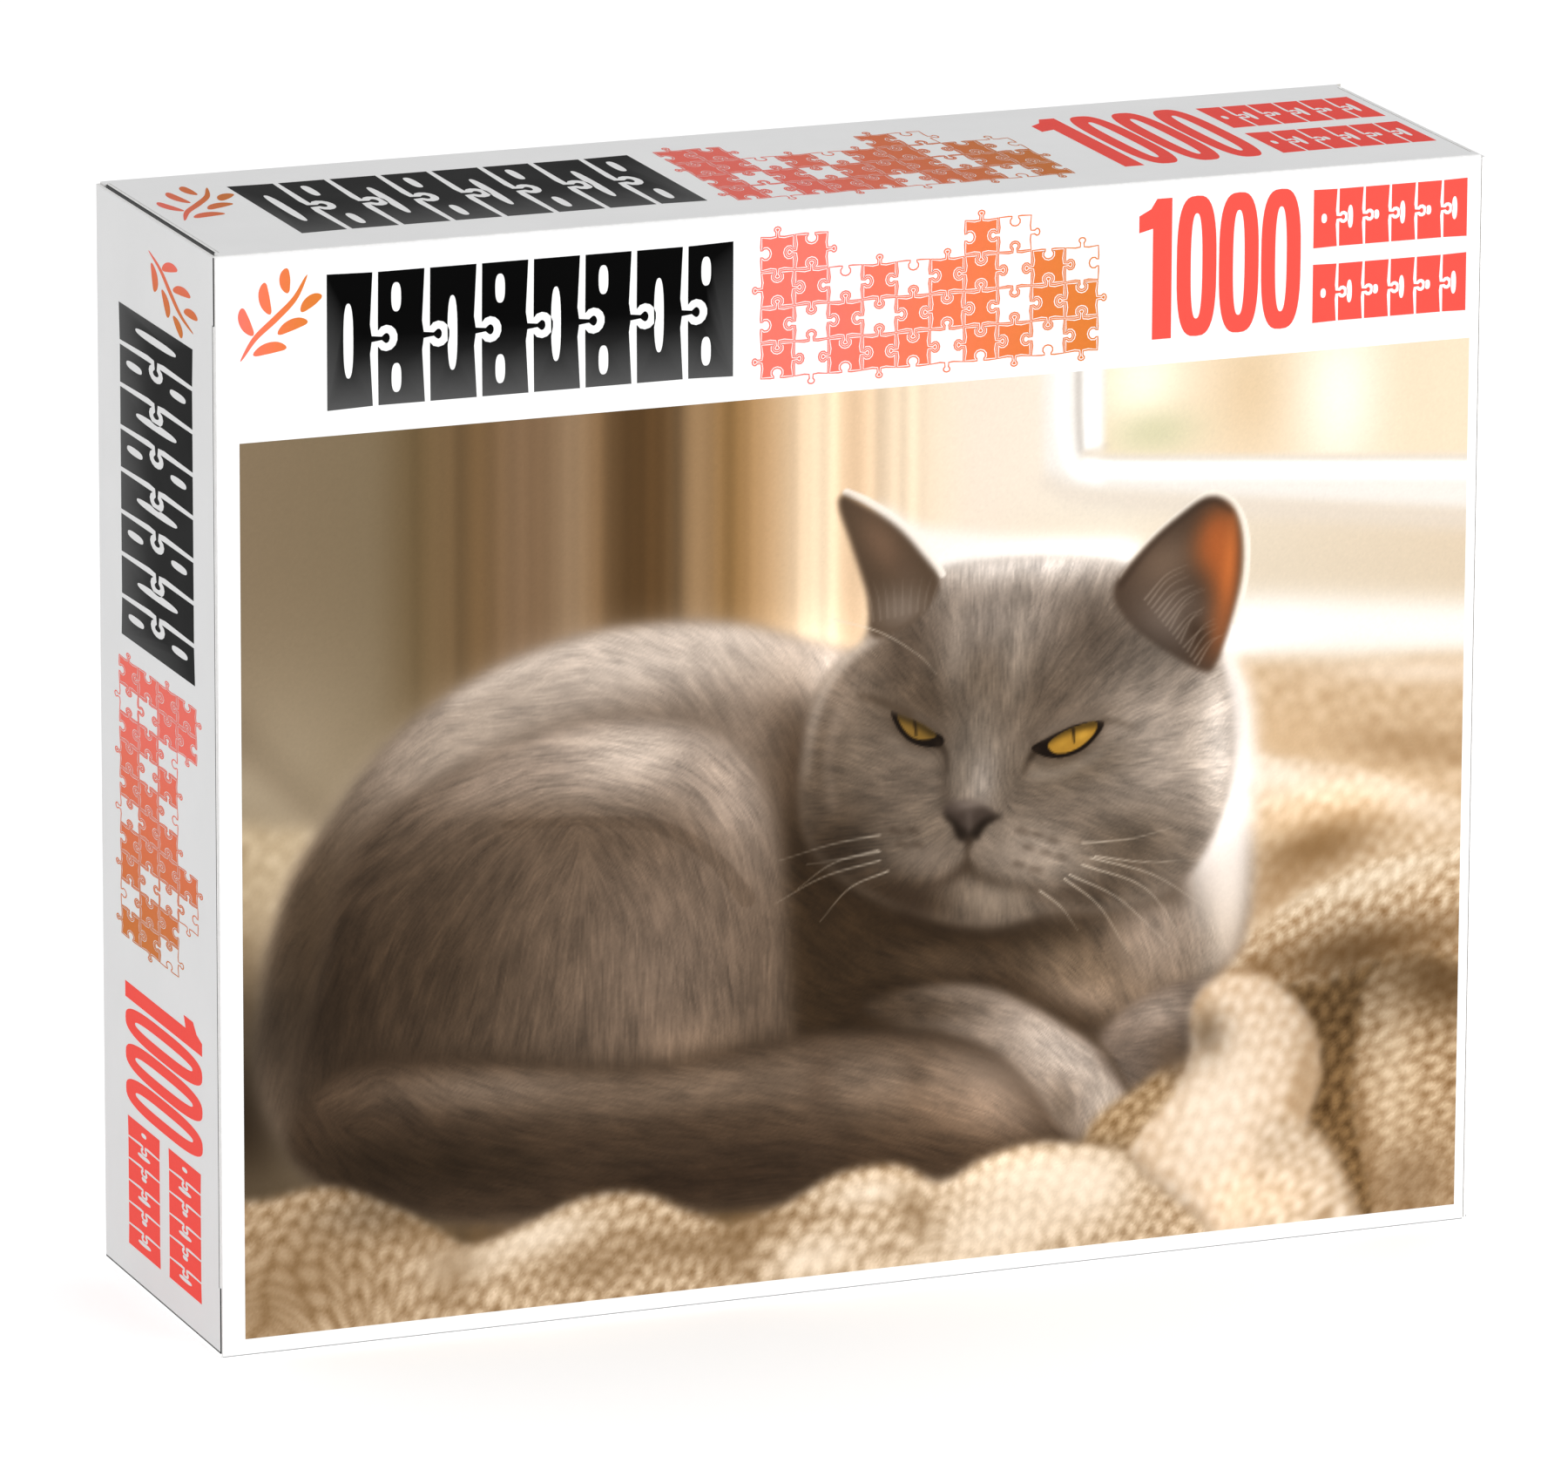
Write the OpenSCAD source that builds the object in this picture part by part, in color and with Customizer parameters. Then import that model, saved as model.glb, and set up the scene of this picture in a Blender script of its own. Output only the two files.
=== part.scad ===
// Boxed jigsaw puzzle: a printed reverse tuck carton, standing on its long side,
// with a sealed bag of loose jigsaw pieces inside.
// Origin: centre of the base. +X runs to the right, the printed front faces -Y, +Z is up.

/* [Carton] */
// Width of the front
box_w = 250; // [230:1:300]
// Height of the carton as it stands
box_h = 207; // [190:1:240]
// Depth from the front to the back
box_d = 68; // [66:0.5:80]
// Thickness of the folding board
board = 0.8; // [0.5:0.05:1]
// Gap between boards that turn or slide on each other
slip = 0.15; // [0.1:0.05:0.3]
// Width of the glued flap inside the base
glue_w = 15; // [10:1:20]

/* [End closures] */
// Length of the flap that tucks behind the front or the back
tuck_len = 14; // [10:0.5:16]
// Length of the slit at each end of a tuck crease
slit_len = 13; // [8:1:16]
// Opening of a slit
slit_w = 1.6; // [1.2:0.1:2]
// Length of a dust flap
dust_len = 34; // [24:1:40]
// Turn of a tuck flap for each degree that its end panel opens
tuck_follow = 0.4; // [0:0.1:0.4]
// Turn of a dust flap for each degree that its end panel opens
dust_follow = 0.7; // [0.5:0.1:0.7]

/* [Bag] */
// Width of the filled bag
bag_w = 200; // [180:1:206]
// Depth of the filled bag
bag_d = 56; // [48:1:56]
// Height of the bag, without its top seal
bag_h = 164; // [150:1:165]
// Height of the pieces in the bag
fill_h = 130; // [120:1:136]
// Thickness of the bag film
film = 0.3; // [0.2:0.05:0.4]
// Height of a crimped seal
seal_h = 10; // [6:1:12]

/* [Jigsaw pieces] */
// Side of a piece, without its knobs
piece = 17.4; // [15:0.1:18]
// Thickness of a piece
piece_t = 1.9; // [1.6:0.1:2.2]
// Columns of pieces lying flat on top of the fill
top_columns = 7; // [4:1:7]
// Rows of pieces lying flat on top of the fill
top_rows = 2; // [1:1:2]

/* [Hidden] */
half_w = box_w / 2;
half_d = box_d / 2;
// Height of an end panel's two ends above the table and below the top
end_inset = 0.5;
// Distance from an end panel's hinge to its tuck crease
tuck_reach = box_d - board - slip;
// A stiff tuck flap leans inwards by this much, so that its free edge swings clear of the panel before it
tuck_lean = (0.5 + tuck_follow) * asin(tuck_len / tuck_reach) + 1;
// Room that the crease takes from the end panel
crease_room = board / cos(tuck_lean) + board * tan(tuck_lean) + slip;
// Height of a tuck flap's ends above the glue flap, and as far below the top
tuck_inset = 2 * board + 2 * slip;
tuck_corner_r = 9;
// Depth of a dust flap's outer face inside the end of the carton
dust_in = board + slip;
dust_hinge_side = 3;
dust_lock_side = box_d - 3.5;
dust_shoulder = 3;
dust_corner_r = 7;
// The base carries the glue flap, and the bag stands on that
bag_floor = 2 * board + 0.2;
seal_t = 0.4;
seam_w = 12;
seam_gap = 0.15;
low_r = 20;
fill_r = 14;
crown_t = 2.4;
crown_w = 176;
bag_z = bag_floor + seal_t + 0.05;
fill_z = bag_z + fill_h;
crown_z = bag_z + bag_h;
ball_facets = 32;
// Clearance between the film and what it holds
inside = film + 0.3;

// ---- Carton tube ----

// Turns a YZ profile into a panel that runs from x0 to x1
module along_x(x0, x1) {
    translate([x0, 0, 0]) rotate([90, 0, 90]) linear_extrude(x1 - x0) children();
}

// Upright board with its two outer corners folded round; y = 0 is the outer face
module upright_profile() {
    translate([0, board]) square([board, box_h - 2 * board]);
    for (z = [board, box_h - board])
        intersection() {
            translate([board, z]) circle(r = board, $fn = 32);
            translate([0, z - board]) square([board, 2 * board]);
        }
}

// The front starts at the raw left edge and stops short of the right end panel's fold
module front_wall() {
    along_x(-half_w, half_w - dust_in) translate([-half_d, 0]) upright_profile();
}

// Cross-section of a board along +x, outer face on y = 0, its outer corner at the origin folded round
module fold_profile(length) {
    translate([board, 0]) square([length - board, board]);
    intersection() {
        translate([board, board]) circle(r = board, $fn = 32);
        square(board);
    }
}

// Level board between the front and the back, let in at each end for the fold of a dust flap
module flat_wall(z) {
    x_end = half_w - dust_in;
    translate([0, 0, z]) difference() {
        translate([-x_end, -half_d + board, 0]) cube([2 * x_end, box_d - 2 * board, board]);
        for (turn = [0, 180])
            rotate([0, 0, turn])
                translate([-x_end - board, half_d - dust_lock_side - slip, -board])
                    cube([2 * board + slip, dust_lock_side - dust_hinge_side + 2 * slip, 3 * board]);
    }
}

module front_panel() { color("white") front_wall(); }

module back_panel() { color("white") rotate([0, 0, 180]) front_wall(); }

module top_panel() { color("gainsboro") flat_wall(box_h - board); }

module bottom_panel() { color("gainsboro") flat_wall(0); }

// Glued to the base, along the foot of the back
module glue_flap() {
    x_end = half_w - 4;
    bevel = 8;
    color("tan") translate([0, half_d - board, board]) linear_extrude(board)
        polygon([[-x_end, 0], [x_end, 0], [x_end - bevel, -glue_w], [bevel - x_end, -glue_w]]);
}

// ---- End closures, drawn at the left end ----

// The right end is the left end turned half round the vertical axis
module at_right() { rotate([0, 0, 180]) children(); }

// End panel: hinged on the back left edge, and set back between the slits to make room for the crease
module end_panel() {
    difference() {
        translate([-half_w, half_d, end_inset]) rotate([0, 0, -90])
            linear_extrude(box_h - 2 * end_inset) fold_profile(tuck_reach);
        translate([-half_w - board, half_d - tuck_reach - board, slit_len])
            cube([3 * board, board + crease_room, box_h - 2 * slit_len]);
    }
}

// Outline of a tuck flap, creased between the slits, with rounded ears; x is the distance from the crease
module tuck_outline() {
    r = tuck_corner_r;
    low = tuck_inset;
    high = box_h - low;
    translate([0, slit_len + slip]) square([slit_w + board, box_h - 2 * (slit_len + slip)]);
    translate([slit_w, low]) square([tuck_len - slit_w - r, high - low]);
    translate([slit_w, low + r]) square([tuck_len - slit_w, high - low - 2 * r]);
    for (z = [low + r, high - r])
        translate([tuck_len - r, z]) intersection() {
            circle(r = r, $fn = 64);
            translate([slit_w + r - tuck_len, -r]) square([tuck_len - slit_w, 2 * r]);
        }
}

// Tuck flap: creased on the end panel's front edge, leaning inwards
module tuck_flap() {
    translate([-half_w, half_d - tuck_reach, 0]) intersection() {
        cube([tuck_len, tuck_len, box_h]);
        rotate([0, 0, tuck_lean]) linear_extrude(box_h) fold_profile(tuck_len);
        rotate([0, 0, tuck_lean]) translate([0, board, 0]) rotate([90, 0, 0])
            linear_extrude(board) tuck_outline();
    }
}

// Outline of a dust flap. x is the distance from its hinge and y the distance from the end panel's hinge.
// Its sloping side falls away as fast as the end panel makes room for it.
module dust_outline() {
    slope_end = dust_hinge_side + dust_follow * dust_len;
    r = dust_corner_r;
    free_side = dust_lock_side - dust_shoulder;
    corner = [for (a = [0:15:90]) [dust_len - r + r * sin(a), free_side - r + r * cos(a)]];
    polygon(concat([[0, dust_hinge_side], [0, dust_lock_side], [dust_shoulder, free_side]],
        corner, [[dust_len, slope_end]]));
}

// Dust flap hinged on the base, standing just inside the end panel
module lower_dust_flap() {
    translate([-half_w + dust_in, half_d, 0]) rotate([0, -90, 0]) intersection() {
        mirror([0, 1, 0]) translate([0, 0, -board]) linear_extrude(board) dust_outline();
        translate([0, -box_d, 0]) rotate([-90, 0, 0]) linear_extrude(box_d) fold_profile(dust_len);
    }
}

// Dust flap hinged on the top
module upper_dust_flap() {
    translate([0, 0, box_h]) mirror([0, 0, 1]) lower_dust_flap();
}

module left_end_panel() { color("whitesmoke") end_panel(); }

module right_end_panel() { color("whitesmoke") at_right() end_panel(); }

module left_tuck_flap() { color("lightgray") tuck_flap(); }

module right_tuck_flap() { color("lightgray") at_right() tuck_flap(); }

module left_upper_dust_flap() { color("tan") upper_dust_flap(); }

module right_upper_dust_flap() { color("tan") at_right() upper_dust_flap(); }

module left_lower_dust_flap() { color("tan") lower_dust_flap(); }

module right_lower_dust_flap() { color("tan") at_right() lower_dust_flap(); }

// ---- Bag of pieces ----

// Centres of the corner balls that span the bag
function ball_x(r) = bag_w / 2 - r;
function ball_y(r) = bag_d / 2 - r;

module balls(r, z, x, y, wall) {
    for (sx = [-1, 1], sy = [-1, 1])
        translate([sx * x, sy * y, z]) sphere(r = r - wall, $fn = ball_facets);
}

// Pillow of film: broad where the pieces lie, closing to the crimped crown
module pillow(wall) {
    hull() {
        balls(low_r, bag_z + low_r, ball_x(low_r), ball_y(low_r), wall);
        balls(fill_r, fill_z, ball_x(fill_r), ball_y(fill_r), wall);
        translate([-crown_w / 2 + wall, -crown_t / 2 + wall, crown_z - crown_t])
            cube([crown_w - 2 * wall, crown_t - 2 * wall, crown_t - wall]);
    }
}

module bag_film() {
    color("lightcyan", 0.4) difference() {
        pillow(0);
        pillow(film);
    }
}

module bag_top_seal() {
    color("lightcyan", 0.6) translate([-crown_w / 2, -seal_t / 2, crown_z])
        cube([crown_w, seal_t, seal_h]);
}

// Folded flat under the bag
module bag_bottom_seal() {
    color("lightcyan", 0.6) translate([-crown_w / 2, -bag_d / 4, bag_floor])
        cube([crown_w, seal_h, seal_t]);
}

// Lap seam up the back of the bag, over the shoulder to the crown's corner
shoulder = [crown_t / 2 - ball_y(fill_r), crown_z - fill_z];
shoulder_turn = atan2(shoulder[1], shoulder[0]) - acos(fill_r / norm(shoulder));

function seam_line(out) = concat(
    [[bag_d / 2 + out, bag_z + low_r]],
    [for (i = [0:4]) let (a = shoulder_turn * i / 4)
        [ball_y(fill_r) + (fill_r + out) * cos(a), fill_z + (fill_r + out) * sin(a)]],
    [[crown_t / 2 + out * cos(shoulder_turn), crown_z + out * sin(shoulder_turn)]]);

module bag_back_seam() {
    outer = seam_line(seam_gap + seal_t);
    color("lightcyan", 0.6) along_x(-seam_w / 2, seam_w / 2)
        polygon(concat(seam_line(seam_gap), [for (i = [len(outer) - 1:-1:0]) outer[i]]));
}

// The bulk of the loose pieces, level on top
module jigsaw_fill() {
    color("peru") hull() {
        balls(low_r, bag_z + low_r, ball_x(low_r), ball_y(low_r), inside);
        for (sx = [-1, 1], sy = [-1, 1])
            translate([sx * ball_x(fill_r), sy * ball_y(fill_r), fill_z - piece_t])
                cylinder(r = fill_r - inside, h = piece_t, $fn = ball_facets);
    }
}

// ---- Jigsaw pieces ----

neck_w = 0.1;
knob_w = 0.15;
knob_out = 0.24;

// One side of a piece along +X, with its knob out for s = 1 and in for s = -1
function side(s) = [
    [0, 0], [0.5 - neck_w, 0], [0.5 - knob_w, s * 0.08], [0.5 - knob_w, s * 0.18],
    [0.5 - knob_w / 2, s * knob_out], [0.5 + knob_w / 2, s * knob_out],
    [0.5 + knob_w, s * 0.18], [0.5 + knob_w, s * 0.08], [0.5 + neck_w, 0]];

function turned(p, a) = [p[0] * cos(a) - p[1] * sin(a), p[0] * sin(a) + p[1] * cos(a)];

function piece_outline(sides) = [
    for (k = [0:3]) for (p = side(-sides[k])) piece * turned([p[0] - 0.5, p[1] - 0.5], 90 * k)];

module jigsaw_piece(sides) { linear_extrude(piece_t) polygon(piece_outline(sides)); }

// A layer of single pieces on the fill, each turned a little its own way
module jigsaw_top_pieces() {
    pitch_x = 1.5 * piece;
    pitch_y = 1.3 * piece;
    color("burlywood")
        for (i = [0:top_columns - 1], j = [0:top_rows - 1])
            translate([(i - (top_columns - 1) / 2) * pitch_x, (j - (top_rows - 1) / 2) * pitch_y, fill_z + 0.05])
                rotate([0, 0, 3 * ((3 * i + 5 * j) % 5 - 2)])
                    jigsaw_piece([-1, 1, j == 0 ? 1 : -1, i % 2 * 2 - 1]);
}

front_panel();
top_panel();
back_panel();
bottom_panel();
glue_flap();
left_end_panel();
left_tuck_flap();
left_upper_dust_flap();
left_lower_dust_flap();
right_end_panel();
right_tuck_flap();
right_upper_dust_flap();
right_lower_dust_flap();
bag_film();
bag_top_seal();
bag_bottom_seal();
bag_back_seam();
jigsaw_fill();
jigsaw_top_pieces();
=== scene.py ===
# Boxed jigsaw puzzle: a printed tuck carton with a sealed bag of a thousand loose pieces.
import math
import bpy
import numpy as np
from mathutils import Matrix, Vector


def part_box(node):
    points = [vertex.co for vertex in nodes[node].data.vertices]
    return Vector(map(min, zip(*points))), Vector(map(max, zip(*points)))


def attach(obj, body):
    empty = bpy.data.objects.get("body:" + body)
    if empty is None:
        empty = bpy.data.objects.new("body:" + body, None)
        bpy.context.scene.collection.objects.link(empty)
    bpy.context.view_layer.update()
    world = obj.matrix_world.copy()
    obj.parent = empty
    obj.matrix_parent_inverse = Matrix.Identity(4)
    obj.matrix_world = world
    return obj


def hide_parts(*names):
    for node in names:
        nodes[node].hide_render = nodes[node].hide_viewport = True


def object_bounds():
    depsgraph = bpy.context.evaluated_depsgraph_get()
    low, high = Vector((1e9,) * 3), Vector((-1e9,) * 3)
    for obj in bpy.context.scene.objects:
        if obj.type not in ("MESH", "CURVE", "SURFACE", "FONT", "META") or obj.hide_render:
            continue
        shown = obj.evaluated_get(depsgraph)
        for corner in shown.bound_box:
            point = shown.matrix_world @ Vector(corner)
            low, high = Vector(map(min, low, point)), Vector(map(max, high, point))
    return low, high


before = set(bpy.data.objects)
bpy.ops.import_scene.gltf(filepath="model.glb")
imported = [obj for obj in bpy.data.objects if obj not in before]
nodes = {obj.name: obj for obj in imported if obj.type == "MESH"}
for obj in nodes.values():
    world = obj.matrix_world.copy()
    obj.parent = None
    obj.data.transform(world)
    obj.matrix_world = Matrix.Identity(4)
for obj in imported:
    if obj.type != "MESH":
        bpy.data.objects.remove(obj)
cad_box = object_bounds()
mm = 0.001

# The carton, measured from the frame
box_low, box_high = (Vector(c) for c in cad_box)
box_d = box_high.y - box_low.y
box_h = box_high.z - box_low.z

# The print: a white title band above the picture
print_gap = 0.004 * mm
ink_t = 0.02 * mm
picture_w = 242.9 * mm
picture_h = 168.9 * mm
picture_left = 4.3 * mm
picture_foot = 3.3 * mm
band_h = 34.8 * mm
# Height of the band's own middle line, in mm above its foot
band_axis = 17.3
cell = 0.2
black = (0, 0, 0)
soft_black = (78, 78, 78)
coral = (242, 112, 98)
bronze = (208, 118, 50)
red = (250, 80, 70)

# ---------------------------------------------------------------- the printed picture
# The picture is painted on a canvas 143 units wide and 100 high, u to the right and v down.
canvas_w = 143.0
canvas_h = 100.0
everywhere = 1


def smooth_line(points, closed=True, steps=8):
    """A smooth line through a few points."""
    p = np.array(points, float)
    if closed:
        p = np.vstack([p[-1:], p, p[:2]])
    else:
        p = np.vstack([2 * p[:1] - p[1:2], p, 2 * p[-1:] - p[-2:-1]])
    t = np.linspace(0, 1, steps, endpoint=False)[:, None]
    line = []
    for a, b, c, d in zip(p[:-3], p[1:-2], p[2:-1], p[3:]):
        line.append(0.5 * (2 * b + (c - a) * t + (2 * a - 5 * b + 4 * c - d) * t ** 2
                           + (3 * b - a - 3 * c + d) * t ** 3))
    return np.vstack(line + ([] if closed else [p[-2:-1]]))


class Painting:
    """A canvas of colour cells, painted with soft shapes, glows, strokes and hair."""

    def __init__(self, step):
        self.step = step
        self.cols = int(round(canvas_w / step)) + 1
        self.rows = int(round(canvas_h / step)) + 1
        self.u, self.v = np.meshgrid(np.arange(self.cols) * step, np.arange(self.rows) * step)
        self.rgb = np.zeros((self.rows, self.cols, 3))
        self.seed = np.random.default_rng(7)

    def blur(self, field, radius):
        """Three box blurs, which come close to a round soft brush of this radius."""
        reach = int(round(radius / self.step))
        if reach < 1:
            return field
        for axis in (0, 1, 0, 1, 0, 1):
            pad = [(0, 0), (0, 0)]
            pad[axis] = (reach + 1, reach)
            total = np.cumsum(np.pad(field, pad, mode="edge"), axis=axis)
            width = 2 * reach + 1
            if axis == 0:
                field = (total[width:] - total[:-width]) / width
            else:
                field = (total[:, width:] - total[:, :-width]) / width
        return field

    def shape(self, points, soft=0.2):
        """Cover of a smooth closed outline, 1 inside it, with a soft edge."""
        fine = 3
        line = smooth_line(points) / self.step
        area = np.zeros((self.rows * fine, self.cols + 2))
        for (x0, y0), (x1, y1) in zip(line, np.roll(line, -1, axis=0)):
            low, high = sorted((y0 * fine, y1 * fine))
            rows = np.arange(max(0, int(np.ceil(low))), min(self.rows * fine, int(np.ceil(high))))
            if not len(rows):
                continue
            across = np.clip(x0 + (rows / fine - y0) / (y1 - y0) * (x1 - x0), 0, self.cols)
            whole = across.astype(int)
            way = 1 if y1 > y0 else -1
            area[rows, whole] += way * (1 - across + whole)
            area[rows, whole + 1] += way * (across - whole)
        filled = np.abs(np.cumsum(area, axis=1)[:, :-2]).reshape(self.rows, fine, self.cols).mean(axis=1)
        return self.blur(np.clip(filled, 0, 1), soft)

    def glow(self, u, v, ru, rv, turn=0):
        """A round soft spot, 1 in its middle, stretched to two radii and turned."""
        a = np.radians(turn)
        du, dv = self.u - u, self.v - v
        across = (du * np.cos(a) + dv * np.sin(a)) / ru
        along = (dv * np.cos(a) - du * np.sin(a)) / rv
        return np.exp(-(across ** 2 + along ** 2))

    def stroke(self, points, start, end, closed=False):
        """Cover of a thin stroke that goes from one width to another."""
        line = smooth_line(points, closed)
        cover = np.zeros_like(self.u)
        count = len(line) - 1
        margin = max(start, end) * 2 + 2 * self.step
        for i, (a, b) in enumerate(zip(line[:-1], line[1:])):
            c0 = max(0, int((min(a[0], b[0]) - margin) / self.step))
            c1 = int((max(a[0], b[0]) + margin) / self.step) + 2
            r0 = max(0, int((min(a[1], b[1]) - margin) / self.step))
            r1 = int((max(a[1], b[1]) + margin) / self.step) + 2
            u, v = self.u[r0:r1, c0:c1], self.v[r0:r1, c0:c1]
            d = b - a
            t = np.clip(((u - a[0]) * d[0] + (v - a[1]) * d[1]) / max(d @ d, 1e-9), 0, 1)
            gap = np.hypot(u - a[0] - t * d[0], v - a[1] - t * d[1])
            half = (start + (end - start) * (i + t) / count) / 2
            ink = np.clip((half - gap) / self.step + 0.5, 0, 1) * np.clip(half * 2 / self.step, 0, 1)
            cover[r0:r1, c0:c1] = np.maximum(cover[r0:r1, c0:c1], ink)
        return cover

    def spots(self, cover, rows):
        """Round soft spots of colour within a cover. Each row is a colour, the glow's own values
        (u, v, ru, rv, turn) and a strength."""
        for colour, spot, strength in rows:
            self.wash(colour, self.glow(*spot) * cover * strength)

    def brush(self, colour, points, start, end, soft, cover=1.0):
        """A stroke of colour with soft edges."""
        self.wash(colour, self.blur(self.stroke(points, start, end), soft) * cover)

    def wash(self, colour, cover):
        """Lay a colour, given in parts of 255, over the canvas."""
        cover = np.clip(cover, 0, 1)[..., None]
        self.rgb += (np.array(colour, float) / 255 - self.rgb) * cover

    def shade(self, amount, cover):
        """Make the canvas lighter (over 0) or darker (under 0) by a share."""
        self.rgb *= 1 + amount * cover[..., None]

    def cloud(self, size):
        """Soft random patches of about this size, centred on 0 with a spread of 1."""
        patch = self.blur(self.seed.standard_normal((self.rows, self.cols)), size / 2)
        return (patch - patch.mean()) / patch.std()

    def hair(self, lie, length, grain):
        """Random light and dark drawn out along the lie of the hair, spread 1.
        Each entry of lie is (u, v, angle in degrees, 0 to the right and 90 down)."""
        far = np.zeros((2, self.rows, self.cols))
        for u, v, angle in lie:
            near = 1 / ((self.u - u) ** 2 + (self.v - v) ** 2 + 4) ** 1.5
            both_ways = np.radians(2 * angle)
            far += np.array([np.cos(both_ways), np.sin(both_ways)])[:, None, None] * near
        turn = 0.5 * np.arctan2(far[1], far[0])
        du, dv = np.cos(turn), np.sin(turn)
        noise = self.cloud(grain)
        total = noise.copy()
        steps = int(length / self.step / 2)
        rows, cols = np.indices(noise.shape)
        for side in (-1, 1):
            x, y = cols.astype(float), rows.astype(float)
            last_u, last_v = du * side, dv * side
            for _ in range(steps):
                x += last_u
                y += last_v
                i = np.clip(y.round().astype(int), 0, self.rows - 1)
                j = np.clip(x.round().astype(int), 0, self.cols - 1)
                total += noise[i, j]
                new_u, new_v = du[i, j], dv[i, j]
                same = np.sign(new_u * last_u + new_v * last_v)
                last_u, last_v = new_u * same, new_v * same
        return (total - total.mean()) / total.std()

    def coat(self, lie, strength=1.0, length=2.8):
        """Hair in three widths, as a share of lightness to add."""
        return strength * (0.040 * self.hair(lie, length * 0.7, 0.2) + 0.034 * self.hair(lie, length, 0.55)
                           + 0.030 * self.hair(lie, length * 1.3, 1.2))

    def knit(self, turn, stitch, squash=0.8, bend=1.1):
        """Height of chunky stitches that lean one way and the other in turn, 0 in the gaps to 1."""
        a = np.radians(turn)
        sway = self.cloud(10) * bend
        drift = self.cloud(6) * bend * 0.6
        small = self.cloud(1.6) * 0.12
        s = (self.u * np.cos(a) + self.v * np.sin(a) + sway) / stitch * 1.3 + small
        t = (self.v * np.cos(a) - self.u * np.sin(a) + drift) / (stitch * squash) + small
        column = np.floor(s)
        lean = np.where(column % 2 == 0, 0.55, -0.55)
        ls = s - column - 0.5
        t = t + lean * ls + 0.5 * (np.floor(column / 2) % 2)
        lt = t - np.floor(t) - 0.5
        height = 1 - (np.abs(ls) / 0.56) ** 2.4 - (np.abs(lt) / 0.54) ** 2.0
        height = np.clip(height, 0, 1) ** 0.75
        fuzz = self.seed.standard_normal(height.shape) * 0.06
        return np.clip(self.blur(height, 0.2) + fuzz, 0, 1)


def knit_fold(p, cover, turn, stitch, light=(228, 203, 172), dark=(128, 96, 60), soft=0.0, squash=1.0):
    """Lay one fold of the chunky knit blanket over the canvas."""
    height = p.knit(turn, stitch, squash)
    if soft:
        height = p.blur(height, soft)
    ink = np.array(dark) / 255 + (np.array(light) - np.array(dark)) / 255 * height[..., None]
    p.rgb += (ink - p.rgb) * np.clip(cover, 0, 1)[..., None]


def paint_room(p):
    """Wall, curtain, window and the blurred blanket behind the cat."""
    stops = [0, 15, 20.5, 22, 27, 31, 34, 38, 41, 44, 48.5, 50.5, 53.5, 55.5, 58, 61,
             64, 67, 70, 74, 78, 84, 100, 143]
    tones = np.array([
        (122, 105, 82), (116, 100, 76), (96, 77, 50), (112, 90, 62), (104, 80, 52), (124, 98, 72),
        (120, 94, 68), (134, 110, 84), (112, 86, 58), (84, 60, 34), (86, 62, 36), (136, 108, 76),
        (146, 116, 82), (124, 92, 52), (150, 116, 76), (184, 150, 112),
        (226, 198, 164), (236, 212, 180), (212, 178, 142), (226, 202, 172), (232, 210, 182),
        (226, 210, 192), (226, 216, 200), (214, 194, 168)], float)
    for i in range(3):
        p.rgb[..., i] = p.blur(np.interp(p.u, stops, tones[:, i]), 0.8) / 255
    p.wash((150, 134, 110), p.glow(3, 38, 14, 14) * 0.9)
    p.brush((108, 92, 72), [(-2, 28), (3, 36), (10, 43)], 3, 2, 1.4, 0.5)
    p.brush((176, 160, 136), [(-2, 36), (3, 40), (8, 45)], 3, 2, 1.2, 0.4)
    folds = p.blur(np.broadcast_to(p.seed.standard_normal(p.cols), p.u.shape), 0.4)
    p.shade(0.05, folds / folds.std() * np.clip((p.u - 18) / 6, 0, 1) * np.clip((82 - p.u) / 6, 0, 1))
    p.wash((200, 184, 160), p.shape([(95, 17), (143, 21), (150, 33), (110, 31), (84, 24)], 3) * 0.5)
    # The window: glass, sash and sill
    sash = p.shape([(92.4, -8), (92.4, -8), (150, -8), (150, -8), (150, 20.6), (150, 20.6), (120, 16.6),
                    (98, 13.4), (93.8, 12.2), (92.6, 9)], 0.45)
    p.wash((226, 220, 212), sash)
    glass = p.shape([(99.8, -8), (99.8, -8), (150, -8), (150, -8), (150, 13.9), (150, 13.9), (101, 9.8),
                     (99.8, 9.2), (99.8, 8)], 0.3)
    p.brush((248, 246, 242), [(98, -6), (98.2, 9.6), (99.4, 11.2), (120, 13), (150, 15.6)], 2, 2, 0.3)
    p.brush((178, 170, 162), [(96.4, -6), (96.5, 4), (96.8, 9)], 0.7, 0.7, 0.25, 0.8)
    p.brush((244, 242, 238), [(94.6, -6), (94.7, 6), (96, 11), (99, 12.4)], 1.5, 1.5, 0.4)
    p.wash((228, 208, 180), glass)
    p.spots(glass, [
        ((250, 238, 214), (104, 2, 4.5, 7), 1),
        ((196, 192, 156), (105.6, 7.6, 6, 3), 0.85),
        ((212, 186, 150), (117, 3, 5, 9), 0.9),
        ((244, 234, 218), (127.5, 5, 4.6, 9), 1),
        ((226, 206, 178), (137, 2, 2.6, 8), 0.8)])
    p.brush((200, 186, 168), [(99.9, 8.6), (101, 10), (150, 14.1)], 0.5, 0.5, 0.2, 0.7)
    p.brush((212, 200, 186), [(93, 12), (98, 14.2), (115, 16.8), (150, 21.6)], 2, 2.4, 0.7, 0.8)
    # The sill behind the blanket
    p.wash((238, 232, 224), p.shape([(100, 27), (118, 27.6), (150, 31.5), (150, 36.5), (118, 33.6),
                                     (100, 32)], 1.1))
    p.wash((246, 242, 238), p.glow(117, 31.5, 8, 3) * 0.8)


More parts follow.
